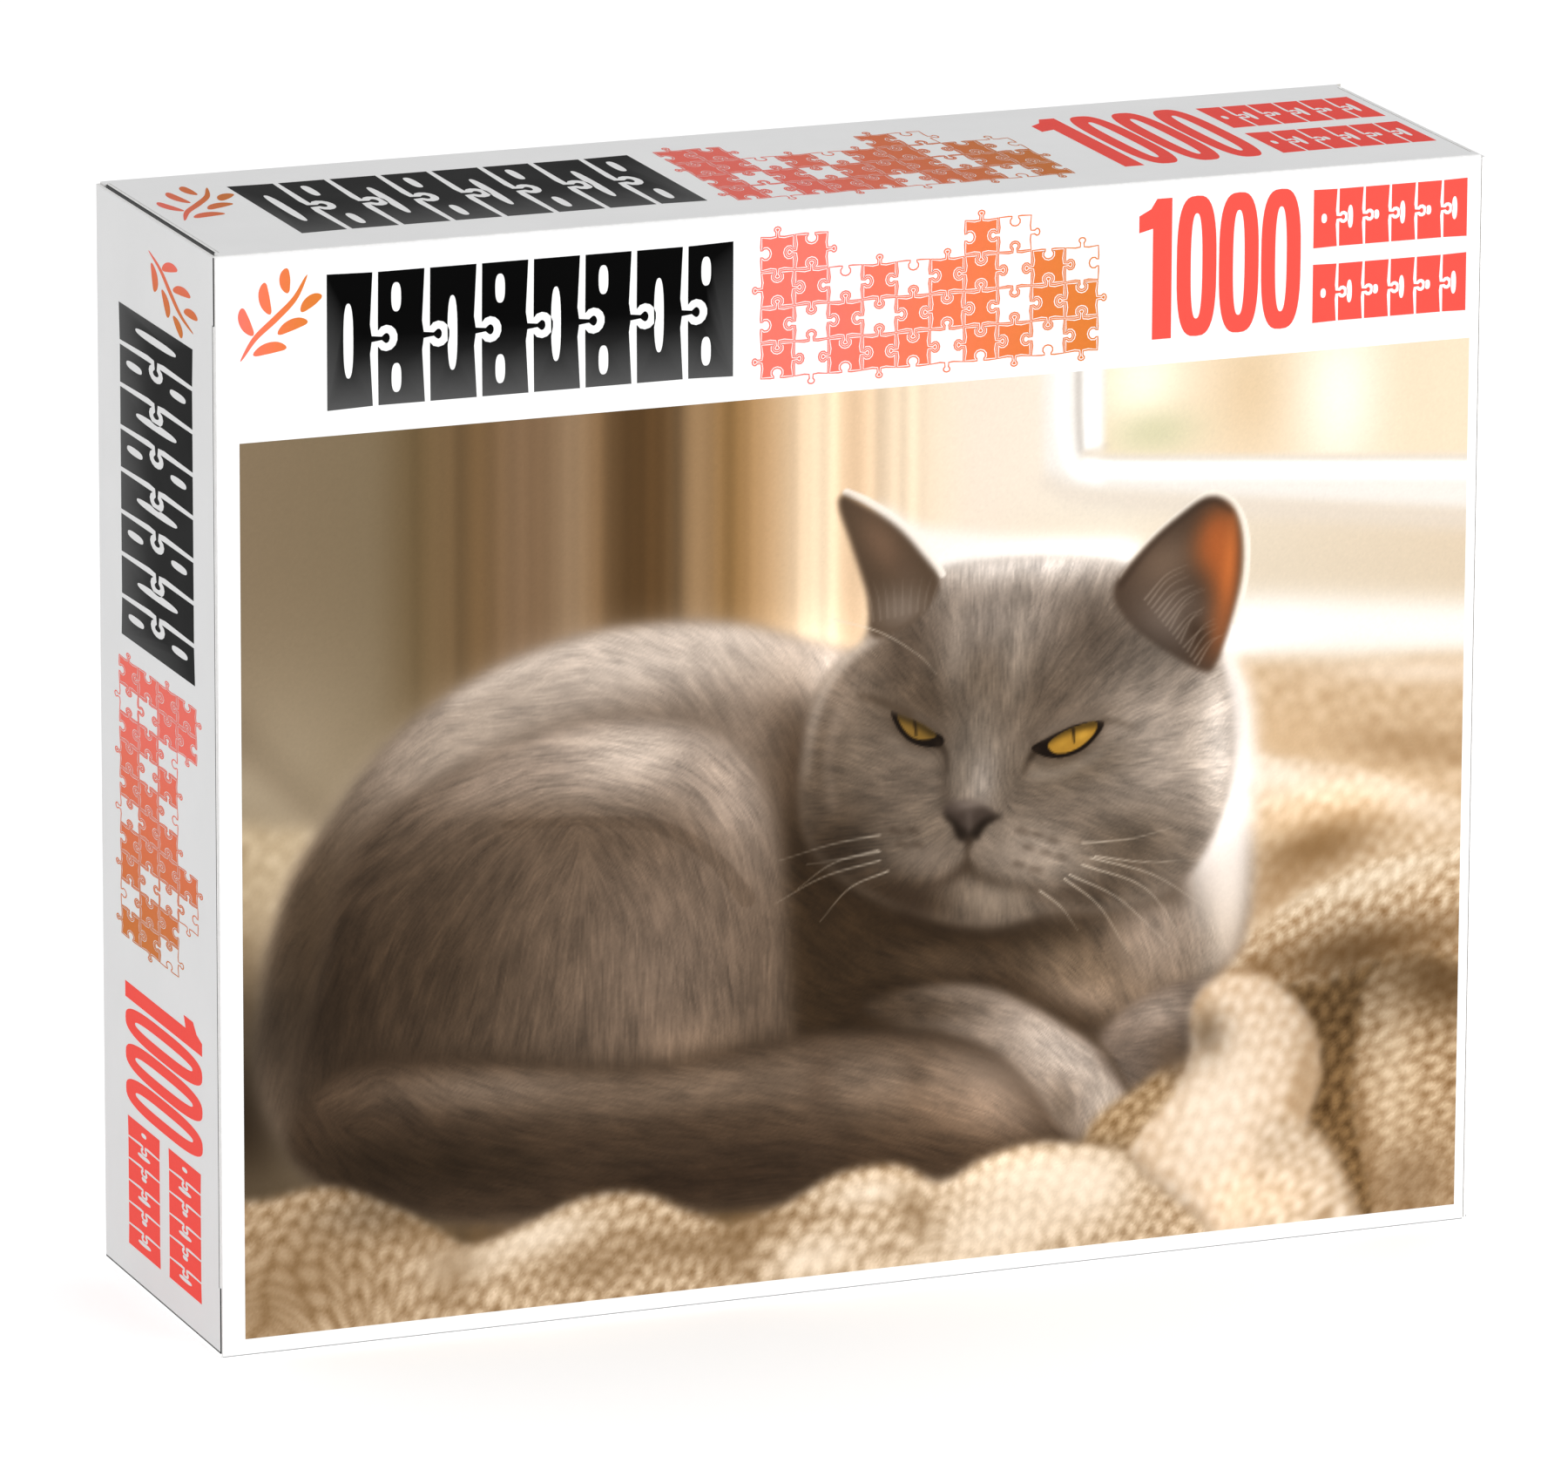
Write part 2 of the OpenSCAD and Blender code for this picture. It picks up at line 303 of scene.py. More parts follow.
def paint_far_blanket(p):
    """Folds of the blanket at the right and far left, behind the cat."""
    back = p.shape([(108, 36), (116, 34.4), (128, 35.6), (150, 38.5), (150, 56), (108, 60)], 0.9)
    knit_fold(p, back, -32, 2.6, (226, 200, 168), (158, 124, 86), soft=0.5)
    p.spots(back, [
        ((204, 172, 134), (122, 44, 8, 4, 10), 0.7),
        ((150, 116, 78), (137, 46, 9, 2.2, 10), 0.6),
        ((236, 220, 202), (138, 37.5, 12, 1.6, 6), 0.6)])
    # A long fold that runs from the cat's cheek to the right edge
    roll = p.shape([(113, 44), (120, 45.5), (130, 48), (138, 50.5), (150, 57), (150, 70), (140, 66),
                    (132, 61), (124, 62), (118, 68), (112, 72)], 0.45)
    knit_fold(p, roll, 38, 2.3, (232, 210, 182), (168, 134, 96), soft=0.25)
    p.spots(roll, [
        ((240, 226, 208), (119, 47.5, 9, 2.4, 16), 0.75),
        ((236, 220, 200), (136, 52, 8, 1.8, 26), 0.6),
        ((122, 90, 54), (125.5, 56.5, 8, 3.4, -14), 0.9),
        ((150, 116, 78), (120, 61.5, 6, 2, -32), 0.6),
        ((206, 176, 140), (120, 54, 4, 2), 0.5)])
    near = p.shape([(113, 70.5), (117, 66.5), (122, 63.5), (128, 60.5), (134, 58.6), (141, 58),
                    (150, 58), (150, 76), (143, 71.5), (139, 70), (133, 70.6), (127, 72.4), (121, 72),
                    (116, 71.6)], 0.35)
    hollow = p.shape([(108, 72), (122, 71), (134, 69), (150, 72), (150, 106), (104, 106), (100, 84)], 0.5)
    knit_fold(p, hollow, 30, 2.3, (140, 108, 70), (70, 48, 24), soft=0.1)
    knit_fold(p, near, 52, 2.2, (234, 212, 182), (140, 104, 66))
    p.spots(near, [
        ((238, 222, 198), (133, 60.8, 12, 2, -10), 0.55),
        ((104, 74, 42), (132, 69, 15, 3, -6), 0.85),
        ((110, 78, 44), (118, 70.5, 4, 1.6, -25), 0.6)])
    # The fold that stands up at the right edge
    drop = p.shape([(132, 73), (135, 70.6), (139, 70.4), (144, 73), (150, 78), (150, 106), (136, 106),
                    (132.6, 96), (130.6, 86), (131, 78)], 0.35)
    knit_fold(p, drop, 78, 2.3, (216, 190, 156), (124, 90, 54))
    p.spots(drop, [
        ((84, 60, 34), (141, 73.4, 9, 5, 20), 0.85),
        ((120, 92, 62), (137, 97, 6, 5), 0.6),
        ((228, 206, 176), (135, 84, 3, 10), 0.4),
        ((110, 78, 44), (131.5, 92, 1.6, 12, -6), 0.5)])
    # The blanket at the far left
    left = p.shape([(-6, 44), (4, 43), (9, 45), (7, 56), (4, 66), (-6, 70)], 0.8)
    knit_fold(p, left, 60, 2.4, (206, 186, 156), (150, 128, 96), soft=0.5)
    p.wash((110, 88, 62), p.glow(0, 62, 4, 9) * 0.7)


def paint_body(p):
    """The curled body of the cat, its haunch, chest and tail."""
    p.wash((38, 28, 18), p.glow(0, 74, 9, 11) * 0.95)
    body = p.shape([(2.4, 62), (3, 57), (6, 48.5), (10, 43), (15, 36.6), (20, 32.2), (26, 28.8), (32, 26.4),
                    (40, 24.6), (46, 24.2), (52, 24.4), (58, 25.4), (64, 27.6), (70, 29.6), (78, 34),
                    (100, 44), (116, 52), (117, 66), (112, 72), (102, 88), (60, 91), (30, 89.6), (16, 87),
                    (8, 82.5), (3, 75), (1.6, 68)], 0.55)
    p.wash((214, 196, 178), p.blur(body, 1.6) * 0.35)
    p.wash((106, 90, 76), body)
    p.spots(body, [
        ((158, 142, 127), (26, 33.6, 18, 7, -24), 0.95),
        ((194, 178, 164), (46, 27.6, 19, 5, -2), 1),
        ((206, 190, 176), (65, 31, 8, 6, 24), 1)])
    p.wash((206, 190, 176), p.blur(p.stroke([(24, 30.6), (34, 26.8), (45, 25), (56, 26), (68, 30)], 1.2,
                                            3), 0.7) * body * 0.6)
    p.spots(body, [
        ((132, 114, 99), (60, 37, 5, 3.6, 40), 0.7),
        ((66, 50, 36), (65, 45, 4.5, 15, -8), 0.9),
        ((62, 48, 34), (8, 58, 8, 20, 4), 0.85)])
    p.shade(0.8, body * p.coat([(8, 48, -55), (20, 34, -35), (32, 27, -10), (46, 26, 22), (60, 29, 48),
                                (56, 34, 58), (66, 34, 64), (20, 42, -28), (65, 50, 80), (6, 66, -70),
                                (26, 33, 10)]))

    haunch = p.shape([(9, 60), (11, 50), (15, 43.6), (22, 39.6), (30, 36.4), (38, 34.6), (46, 34.6),
                      (53, 36.6), (57.5, 40), (60.4, 45), (62, 51), (64, 59), (66, 66), (65.4, 74),
                      (50, 78), (10, 78), (6, 70)], 0.8)
    p.wash((88, 72, 58), haunch)
    p.spots(haunch, [
        ((190, 174, 160), (44, 38, 15, 5.6, 6), 1),
        ((146, 128, 113), (30, 40, 11, 3.4, -14), 0.75),
        ((166, 148, 133), (56, 44.5, 5, 9, -24), 0.9),
        ((116, 98, 83), (49, 61, 12, 14, 6), 0.85),
        ((46, 35, 25), (11, 62, 9, 17, -6), 0.95),
        ((58, 45, 33), (21, 61, 9, 13, 4), 0.7),
        ((92, 75, 60), (38, 47, 15, 2.4, 8), 0.7)])
    p.wash((78, 62, 48), p.stroke([(30, 45), (40, 45.6), (48, 47), (54, 51), (58, 56)], 1, 2) * haunch * 0.35)
    p.shade(1.0, haunch * p.coat([(14, 46, -30), (24, 41, -16), (36, 38, 4), (47, 37, 14), (56, 42, 48),
                                  (60, 52, 78), (52, 54, 74), (44, 50, 62), (34, 50, 118), (24, 52, 125),
                                  (14, 58, 112), (12, 70, 96), (24, 66, 106), (34, 64, 98), (44, 64, 88),
                                  (54, 66, 84), (62, 66, 88), (44, 44, 22), (30, 44, -22), (20, 47, -35)],
                                 1.2, 3.6))

    # The dark hollow between chest, haunch and paws
    hollow = p.shape([(63, 46), (66, 52), (74, 57), (84, 62), (94, 62), (104, 61), (112, 62), (114, 70),
                      (104, 73), (96, 76), (82, 74), (70, 73.6), (64, 73)], 0.9)
    p.wash((50, 37, 24), hollow)
    p.spots(hollow, [
        ((136, 119, 104), (107, 64, 8, 9, 10), 1),
        ((120, 103, 88), (97, 70.5, 6, 2.6, 24), 0.9)])
    p.wash((204, 187, 170), p.glow(115, 62, 3.6, 11, 2) * body)
    p.spots(hollow, [
        ((96, 80, 64), (96, 67.5, 6, 3, 20), 0.9),
        ((78, 62, 47), (84, 66, 9, 2.4, 8), 0.7)])
    p.shade(1.2, hollow * p.coat([(68, 62, 40), (80, 66, 28), (92, 66, 40), (104, 64, 62), (110, 66, 80),
                                  (74, 70, 8)]))

    tail = p.shape([(5.5, 79), (8, 73.4), (13, 70.6), (20, 70.6), (30, 71.8), (40, 73.6), (50, 74),
                    (60, 72.8), (70, 72.6), (80, 74), (88, 77), (94, 81.6), (97, 86.4), (92, 88),
                    (86, 89), (80, 90.2), (74, 89), (69, 88.6), (62, 91.2), (55, 91.2), (47, 89.4),
                    (40, 88.4), (33, 89.2), (25, 89), (18, 87), (11, 84.2)], 0.55)
    p.wash((34, 25, 16), p.blur(tail, 1.6) * 0.8)
    p.wash((66, 51, 38), tail)
    p.spots(tail, [
        ((118, 100, 84), (30, 74.8, 15, 2.6, 5), 0.95),
        ((108, 90, 74), (52, 77, 17, 2.8, 0), 0.9),
        ((116, 98, 82), (74, 78, 14, 4.2, 6), 0.9),
        ((112, 94, 79), (88, 82.5, 8, 5, 24), 0.8),
        ((40, 30, 20), (20, 82.5, 18, 3.8, 8), 0.85),
        ((46, 34, 24), (54, 87.6, 16, 3, 0), 0.85),
        ((58, 44, 32), (76, 88, 14, 2.4, 0), 0.7),
        ((76, 60, 47), (66.5, 78, 2, 6, 4), 0.45),
        ((80, 64, 50), (78, 79, 2, 6, 4), 0.4)])
    p.shade(1.0, tail * p.coat([(8, 78, 60), (12, 74, -30), (18, 76, 40), (26, 78, 22), (40, 78, 14),
                                (54, 80, 10), (66, 80, 14), (78, 82, 22), (90, 84, 34), (96, 85, 44),
                                (30, 86, 12), (60, 88, 4), (84, 87, 16)], 1.1, 3.2))

    p.wash((138, 122, 108), p.glow(89, 78.6, 7, 3.4, 26) * tail * 0.75)
    # Paws
    p.wash((44, 32, 22), p.blur(p.shape([(70, 70), (84, 68), (94, 70), (102, 76), (105, 84), (98, 88),
                                         (90, 82), (80, 74)], 0.8), 1.0) * 0.5)
    paw = p.shape([(72, 69.4), (79, 68.2), (86, 69), (91, 71.4), (96, 74.8), (100, 78), (102.8, 81.6),
                   (104, 85), (102.4, 87.4), (99, 88), (95.6, 86.4), (92, 81), (87.4, 76.4), (81, 73.4),
                   (75, 72.2)], 0.45)
    p.wash((124, 108, 94), paw * np.clip((p.u - 73) / 9, 0.15, 1))
    p.spots(paw, [
        ((174, 159, 146), (95.6, 77.6, 9, 3.6, 40), 1),
        ((170, 155, 141), (100.4, 83, 3.2, 4, 20), 0.9),
        ((70, 56, 43), (78, 70.6, 7, 2, 6), 0.8),
        ((92, 77, 63), (95.4, 83.6, 2.2, 3.6, -10), 0.6)])
    other = p.shape([(99.6, 77.6), (101.6, 74.2), (106, 71.6), (111, 70.6), (114.5, 71.2), (112.6, 75),
                     (110.6, 79.6), (107, 82.2), (103.4, 83), (101, 80.4)], 0.4)
    p.wash((104, 89, 77), other)
    p.spots(other, [
        ((136, 121, 108), (107, 73.8, 4, 2, -12), 0.8),
        ((70, 56, 44), (109, 80, 4, 2.4, -30), 0.8)])
    p.shade(1.0, np.maximum(paw, other) * p.coat([(76, 71, 12), (86, 72, 24), (94, 77, 44), (100, 82, 62),
                                                  (103, 86, 80), (104, 76, -20), (110, 74, 0),
                                                  (106, 80, 30)], 1.0, 1.8))
    p.brush((60, 46, 32), [(98.6, 75.6), (101, 78.4), (103.4, 82.6)], 0.5, 0.5, 0.2, 0.6)


def paint_near_blanket(p):
    """The rolls of knit in front of the cat."""
    # The roll that comes down from behind the second paw
    arm = p.shape([(110.6, 79), (111, 73.6), (113.6, 70.8), (118, 70.6), (122.6, 73.4), (125.6, 77.6),
                   (126.4, 83), (124.6, 89), (122.4, 94), (122, 106), (96, 106), (100, 96), (104.6, 88),
                   (108.6, 83.6)], 0.4)
    gap = p.shape([(99, 86), (104, 82.6), (110, 79.6), (112, 84), (106, 90), (98, 91)], 0.5)
    knit_fold(p, gap, 40, 2.2, (192, 164, 128), (110, 80, 46))
    shadow = p.shape([(124, 70), (150, 78), (150, 106), (120, 106)], 0.8)
    p.wash((70, 50, 30), p.blur(arm, 1.4) * shadow * 0.5)
    knit_fold(p, arm, 24, 2.5, (238, 218, 194), (176, 142, 106), soft=0.15)
    p.spots(arm, [
        ((244, 230, 212), (114, 86, 6, 10, 20), 0.6),
        ((164, 132, 96), (124.4, 85, 1.8, 9, 10), 0.75),
        ((150, 118, 82), (112.4, 75.6, 1.6, 4, -14), 0.6),
        ((206, 178, 146), (103, 97, 2.6, 8, 22), 0.7)])
    skirt = p.shape([(120, 88), (125, 89), (129, 94), (131.6, 106), (116, 106), (118, 96)], 0.6)
    knit_fold(p, skirt, 40, 2.4, (232, 214, 192), (156, 126, 92), soft=0.2)
    p.wash((96, 78, 62), p.glow(108.6, 79.4, 2, 2.6, -20) * 0.8)
    floor = p.shape([(-6, 86.5), (3, 84.6), (10, 84), (17, 86.8), (22, 90), (26, 92.4), (33, 90.4),
                     (39, 88.2), (46, 88.4), (52, 91.4), (57, 93.2), (63, 91.4), (69, 88.6), (76, 88.4),
                     (81, 91), (86, 88.8), (92, 87.6), (99, 88.6), (104, 91.4), (106, 106), (-6, 106)],
                    0.4)
    p.wash((40, 28, 16), p.blur(floor, 1.3) * 0.55)
    knit_fold(p, floor, 18, 2.5, (222, 198, 168), (130, 100, 66), soft=0.1, squash=0.8)
    # Crests of the rolls, then the hollows between them
    for colour, strength, places in (
            ((242, 225, 203), 0.68, [
                (34, 92, 7, 2.4, -8), (25, 94, 5, 2.4, 0), (73, 91, 6, 1.8, 0), (92, 91, 9, 3, 0),
                (88, 97, 12, 5, -8), (99, 93, 5, 4, 0), (66, 98, 6, 3, -10)]),
            ((118, 90, 58), 0.5, [
                (8, 92, 11, 8, 10), (19, 89.6, 5, 2, 26), (24, 95, 3, 5, 20), (57, 96, 3, 3.4, 0),
                (59, 93.6, 6, 1.7, -8), (78, 94, 2, 4, -28), (50, 95, 7, 2, 14), (40, 96, 6, 2.6, 0),
                (2, 97, 6, 5, 0)])):
        p.spots(floor, [(colour, place, strength) for place in places])


def paint_head(p):
    """The head, seen a little from the side and lit from behind."""
    # The nape and far cheek glow against the window
    p.wash((236, 228, 220), p.shape([(73, 13.2), (78, 15.8), (86, 17.6), (96, 18.8), (104, 20), (103, 26),
                                     (80, 26), (75, 20)], 0.7) * 0.95)
    p.wash((240, 232, 226), p.shape([(113, 33), (116.6, 36), (118, 42), (118, 50), (117.6, 58), (117, 66),
                                     (111, 66), (110, 40)], 0.9) * 0.95 * np.clip((66 - p.v) / 14, 0, 1))
    head = p.shape([(71.6, 28.4), (68, 31), (65.6, 35), (64.6, 40), (64.2, 45), (65.2, 50), (69, 54.6),
                    (74, 57.8), (80, 60.4), (86, 62.2), (91, 62), (95, 60.8), (101, 61.6), (106.6, 60.6),
                    (111, 57.4), (114, 52), (115.6, 46), (115.8, 40), (114.4, 35), (110, 29), (103, 23),
                    (98, 21.4), (90, 20.6), (82, 20.8), (77, 22.4), (73, 25)], 0.45)
    p.wash((38, 27, 17), p.blur(head, 2.2) * p.shape([(60, 48), (72, 56), (84, 61), (98, 62), (106, 66),
                                                      (84, 70), (62, 62)], 1.5) * 0.75)
    p.wash((104, 90, 77), head)
    p.spots(head, [
        ((232, 223, 216), (92, 19.6, 16, 4.6, 3), 1),
        ((138, 125, 114), (89, 27, 12, 4.6), 0.9),
        ((84, 70, 56), (81, 35, 10, 4.4), 0.75),
        ((148, 134, 121), (82, 31, 2, 6, 6), 0.55),
        ((150, 136, 122), (89.6, 30, 1.8, 8, 2), 0.5),
        ((74, 60, 48), (76.4, 29, 4, 6, 16), 0.75),
        ((80, 66, 54), (99, 30, 5.5, 5, 24), 0.8),
        ((152, 138, 125), (108, 44, 9, 13, -6), 1),
        ((192, 180, 169), (114, 44, 2.8, 11, -4), 0.9),
        ((120, 104, 90), (68, 35, 2.8, 5.4, 24), 0.85),
        ((112, 97, 82), (69, 43, 3, 6, 6), 0.5),
        ((54, 41, 29), (67.4, 51.4, 6, 6, 30), 0.9),
        ((84, 69, 55), (66, 42, 3, 7, 4), 0.7),
        ((128, 114, 100), (84.6, 42, 3.4, 7, 8), 0.95),
        ((164, 151, 139), (85.6, 45.4, 1.8, 3.4, 8), 0.8),
        ((94, 80, 65), (96, 44.6, 6.5, 2.6, -4), 0.8),
        ((84, 70, 57), (93.4, 36.4, 6, 3, -24), 0.55),
        ((72, 58, 45), (79.6, 36, 3, 4, -30), 0.6),
        ((78, 64, 50), (103, 55, 7, 5, -10), 0.7),
        ((162, 146, 130), (93, 54, 5.5, 2.8, 24), 0.9),
        ((112, 97, 82), (77.4, 51.4, 4, 2.6, -6), 0.7),
        ((118, 103, 88), (86.6, 59, 5, 2.4, 6), 0.85),
        ((50, 37, 25), (75.6, 57.4, 8, 2.8, 20), 0.95),
        ((60, 46, 33), (99, 59.6, 4, 1.8, -14), 0.5)])
    p.shade(1.0, head * p.coat([(88, 22, -86), (80, 24, -100), (97, 24, -72), (75, 28, -128),
                                (84, 32, -94), (90, 34, -84), (97, 33, -52), (104, 30, -40),
                                (109, 36, -32), (103, 38, -24), (112, 42, -14), (106, 46, 6),
                                (112, 52, 24), (104, 52, 26), (98, 46, 14), (102, 58, 44), (94, 56, 26),
                                (88, 53, 40), (92, 49, 10), (84, 42, -88), (86, 48, 80), (81, 50, 150),
                                (74, 52, 172), (70, 46, 190), (70, 40, 200), (72, 34, 214), (76, 40, 196),
                                (76, 46, 186), (82, 58, 96), (88, 60, 82), (78, 56, 128), (68, 52, 176),
                                (80, 37, -130), (87, 38, -88), (95, 38, -34)], 1.15, 2.0))
    p.brush((224, 214, 206), [(114.6, 34), (115.8, 40), (115.9, 47), (114.6, 53), (112, 58)], 1.2, 0.3,
            0.4, 0.85)
    p.brush((204, 190, 176), [(73, 27.8), (69.4, 30.2), (66.8, 33.6), (65.4, 38), (64.8, 43)], 0.8, 0.2,
            0.4, 0.8)
    p.brush((150, 132, 116), [(68.6, 36), (67.4, 41), (68, 47)], 0.9, 0.4, 0.4, 0.5)


def paint_ears(p):
    """The two ears, with light through the right one."""
    left = p.shape([(69, 11.6), (70.6, 12.4), (75, 15.4), (78, 18.6), (80.4, 22.4), (78, 26), (73, 28),
                    (72.2, 25), (71.8, 22.6), (70, 17), (68.6, 13)], 0.18)
    p.wash((236, 226, 214), p.stroke([(69.4, 11.3), (72, 12.6), (75.6, 15.2), (78.8, 18.6), (80.6, 21.4)],
                                     0.9, 0.9) * 0.85)
    p.wash((74, 58, 44), left)
    p.spots(left, [
        ((104, 80, 62), (73.6, 17.4, 2, 4.4, -34), 0.95),
        ((84, 66, 52), (76.4, 20.4, 1.4, 2, -30), 0.6),
        ((110, 95, 82), (76, 25, 3.4, 2.6), 1)])
    right = p.shape([(101, 25), (104.6, 20.6), (108.6, 17.4), (112, 15.5), (114.6, 16.4), (116, 19.4),
                     (116.2, 24), (115.2, 29), (113.4, 34.2), (112, 35.4), (108, 33), (103, 29)], 0.16)
    p.wash((240, 230, 216), p.stroke([(102, 23.6), (105, 20), (109, 16.9), (112.4, 15.1), (115.2, 16.6),
                                      (116.6, 20), (116.6, 25), (115.4, 30)], 0.9, 0.7) * 0.8)
    p.wash((66, 51, 40), right)
    p.wash((106, 86, 70), p.glow(107, 22.6, 4, 3, -34) * right * 0.8)
    lit = p.shape([(111, 19.6), (113, 17), (115.2, 18.2), (115.8, 24), (114.8, 29.6), (113.2, 34),
                   (112, 32), (113, 28), (112.6, 25), (111, 22.6)], 1.0)
    p.wash((158, 84, 42), lit * right)
    p.wash((186, 102, 50), p.glow(114.6, 23, 0.9, 5, 4) * right * 0.8)
    p.wash((44, 32, 24), p.blur(p.stroke([(101.6, 24.6), (105, 20.6), (109, 17.4), (112.4, 15.8),
                                          (115, 17.4)], 0.6, 0.3), 0.2) * right * 0.7)
    p.spots(right, [
        ((112, 96, 84), (107.4, 29, 4.4, 3.4, 24), 0.95),
        ((60, 44, 32), (111, 31, 1.4, 2.6, -30), 0.8)])
    for i in range(16):
        t = i / 15
        u, v = 104.6 + 6.4 * t, 26.4 + 8 * t
        reach = 3.2 + 2.2 * p.seed.random() - 1.6 * t
        rise = 2.6 + 1.6 * p.seed.random() - 0.6 * t
        hair = p.stroke([(u, v), (u + reach * 0.5, v - rise * 0.72), (u + reach, v - rise)], 0.24, 0.08)
        p.wash((190, 172, 154), hair * 0.32)
    for i in range(9):
        u = 72.6 + 0.85 * i
        hair = p.stroke([(u, 26 - 0.1 * i), (u + 0.1 * (i - 4), 23.4), (u + 0.3 * (i - 4), 21.6)], 0.3,
                        0.08)
        p.wash((150, 134, 120), hair * 0.22)


def paint_eye(p, outline, iris, lid, corner, pupil, colour):
    """One half-closed eye: dark rim, iris, slit pupil and the shade of its lid."""
    rim = p.shape(outline, 0.1)
    p.wash((52, 38, 26), p.blur(rim, 0.7) * 0.7)
    p.wash((22, 15, 10), rim)
    inner = p.shape(iris, 0.1)
    p.wash(colour, inner)
    p.wash(tuple(c * 0.35 for c in colour), p.blur(p.stroke(lid, 1.0, 1.0), 0.25) * inner * 0.85)
    p.wash((34, 24, 12), p.stroke(pupil, 0.42, 0.22) * inner * 0.9)
    p.brush((36, 26, 17), corner, 0.6, 0.2, 0.2)


def paint_face(p):
    """Eyes, nose, mouth, whisker spots and whiskers."""
    paint_eye(p, [(74.8, 36.4), (77.2, 37.6), (79.4, 39), (81, 40), (80.6, 41), (78, 40.6), (76, 39.1)],
              [(75.6, 36.9), (77.4, 37.6), (79.6, 39), (80, 39.9), (77.9, 39.9), (76.4, 38.7)],
              [(75, 36.6), (77.4, 37.7), (79.8, 39.3)], [(80.2, 40.4), (81.2, 41.8), (81.4, 44)],
              [(77.5, 37.5), (77.7, 39.4)], (122, 92, 40))
    paint_eye(p, [(91.4, 42.2), (93.2, 41.2), (96.2, 40.1), (98.4, 39.8), (100, 40), (99.4, 41.3),
                  (97.6, 42.9), (95.2, 43.6), (93, 43.3)],
              [(93.4, 41.9), (94.8, 40.9), (96.8, 40.2), (99, 39.9), (98.9, 41.1), (97.3, 42.5),
               (95.4, 43.1), (94, 42.9)],
              [(92.4, 41.6), (95.4, 40.4), (99.2, 39.9)], [(92, 42.4), (91, 43.4), (90.4, 45)],
              [(96.2, 40.2), (96.4, 41.9)], (160, 118, 42))
    # The fur of the upper lids comes over the rims
    p.brush((92, 78, 65), [(74, 35.8), (77.4, 36.9), (80.4, 38.8)], 0.9, 0.7, 0.15, 0.8)
    p.brush((108, 94, 81), [(92.6, 40.8), (95.4, 39.6), (98, 39.1), (100.2, 39.3)], 0.8, 0.6, 0.15, 0.8)
    p.spots(everywhere, [
        ((196, 150, 58), (97.4, 41.2, 0.8, 0.5, -20), 0.7),
        ((176, 134, 50), (95, 41.9, 0.6, 0.35, -20), 0.6)])
    p.brush((70, 56, 43), [(71, 34.2), (74, 35.4), (77, 37)], 0.4, 0.9, 0.3, 0.8)
    p.brush((70, 56, 43), [(99.6, 39.9), (101.4, 40), (103.4, 40.9)], 0.6, 0.2, 0.25, 0.7)
    p.brush((84, 70, 57), [(90, 41), (93, 39), (98, 38.2), (102, 38.8)], 0.8, 0.5, 0.5, 0.5)
    p.brush((160, 146, 132), [(91.4, 45.2), (95, 45.2), (99.6, 43.4)], 0.9, 0.6, 0.35, 0.6)
    p.brush((136, 121, 106), [(74.6, 39.6), (77, 41.6), (79.6, 42.4)], 0.9, 0.6, 0.35, 0.5)
    # Nose
    p.brush((70, 56, 44), [(80.6, 41), (81, 45), (81.4, 48)], 0.6, 1.1, 0.35, 0.5)
    nose = p.shape([(81.1, 47.8), (83, 47.4), (85.4, 47.9), (87.4, 49.4), (86, 50.3), (84.8, 51.2),
                    (84, 52.1), (83.2, 51.4), (82.4, 49.8), (81.2, 48.8)], 0.12)
    p.wash((62, 51, 44), nose)
    p.wash((120, 106, 96), p.glow(84, 47.8, 1.9, 0.7) * 0.8)
    p.wash((34, 26, 20), p.blur(p.shape([(83.0, 50.6), (84.4, 50.8), (84.5, 52.2), (83.8, 52.4)], 0.1),
                                0.2) * 0.8)
    p.brush((92, 80, 72), [(84, 48.8), (84.1, 51)], 0.7, 0.4, 0.2, 0.7)
    p.brush((26, 19, 13), [(84.8, 51.3), (85.8, 50.1), (87.6, 49.5)], 1.3, 0.4, 0.15)
    p.brush((26, 19, 13), [(83.1, 51.4), (82.3, 49.8), (81.2, 48.8)], 1.1, 0.4, 0.15)
    # Muzzle: two pads, the chin below them and the shade between
    p.spots(everywhere, [
        ((132, 116, 102), (79, 53.2, 3.2, 1.9, 6), 0.5),
        ((150, 134, 119), (89.6, 54.6, 4, 2.1, 20), 0.5)])
    p.brush((54, 42, 31), [(84, 52), (83.8, 53.4), (83.8, 55)], 0.9, 0.5, 0.25, 0.75)
    p.brush((58, 45, 34), [(83.8, 55), (81, 56.4), (77.6, 56.8), (74.6, 56.4)], 1.4, 0.6, 0.45, 0.75)
    p.brush((54, 42, 31), [(83.8, 55), (86, 56.5), (89, 57.6), (93, 58.6)], 1.4, 0.6, 0.4, 0.7)
    p.spots(everywhere, [
        ((56, 43, 32), (77.2, 58.6, 3.4, 1.5, 16), 0.7),
        ((66, 52, 40), (95.6, 59, 3.4, 1.2, -6), 0.5),
        ((138, 122, 106), (86.6, 59, 3.6, 1.7, 4), 0.6)])
    p.brush((40, 29, 19), [(76, 60), (81, 61.8), (87, 62.8), (93, 61.8)], 1.6, 1.0, 0.5, 0.6)
    p.shade(0.5, p.glow(86, 57, 8, 4) * p.coat([(80, 54, 165), (88, 54, 25), (86, 60, 88), (82, 59, 100),
                                                (90, 60, 70)], 1.0, 1.5))
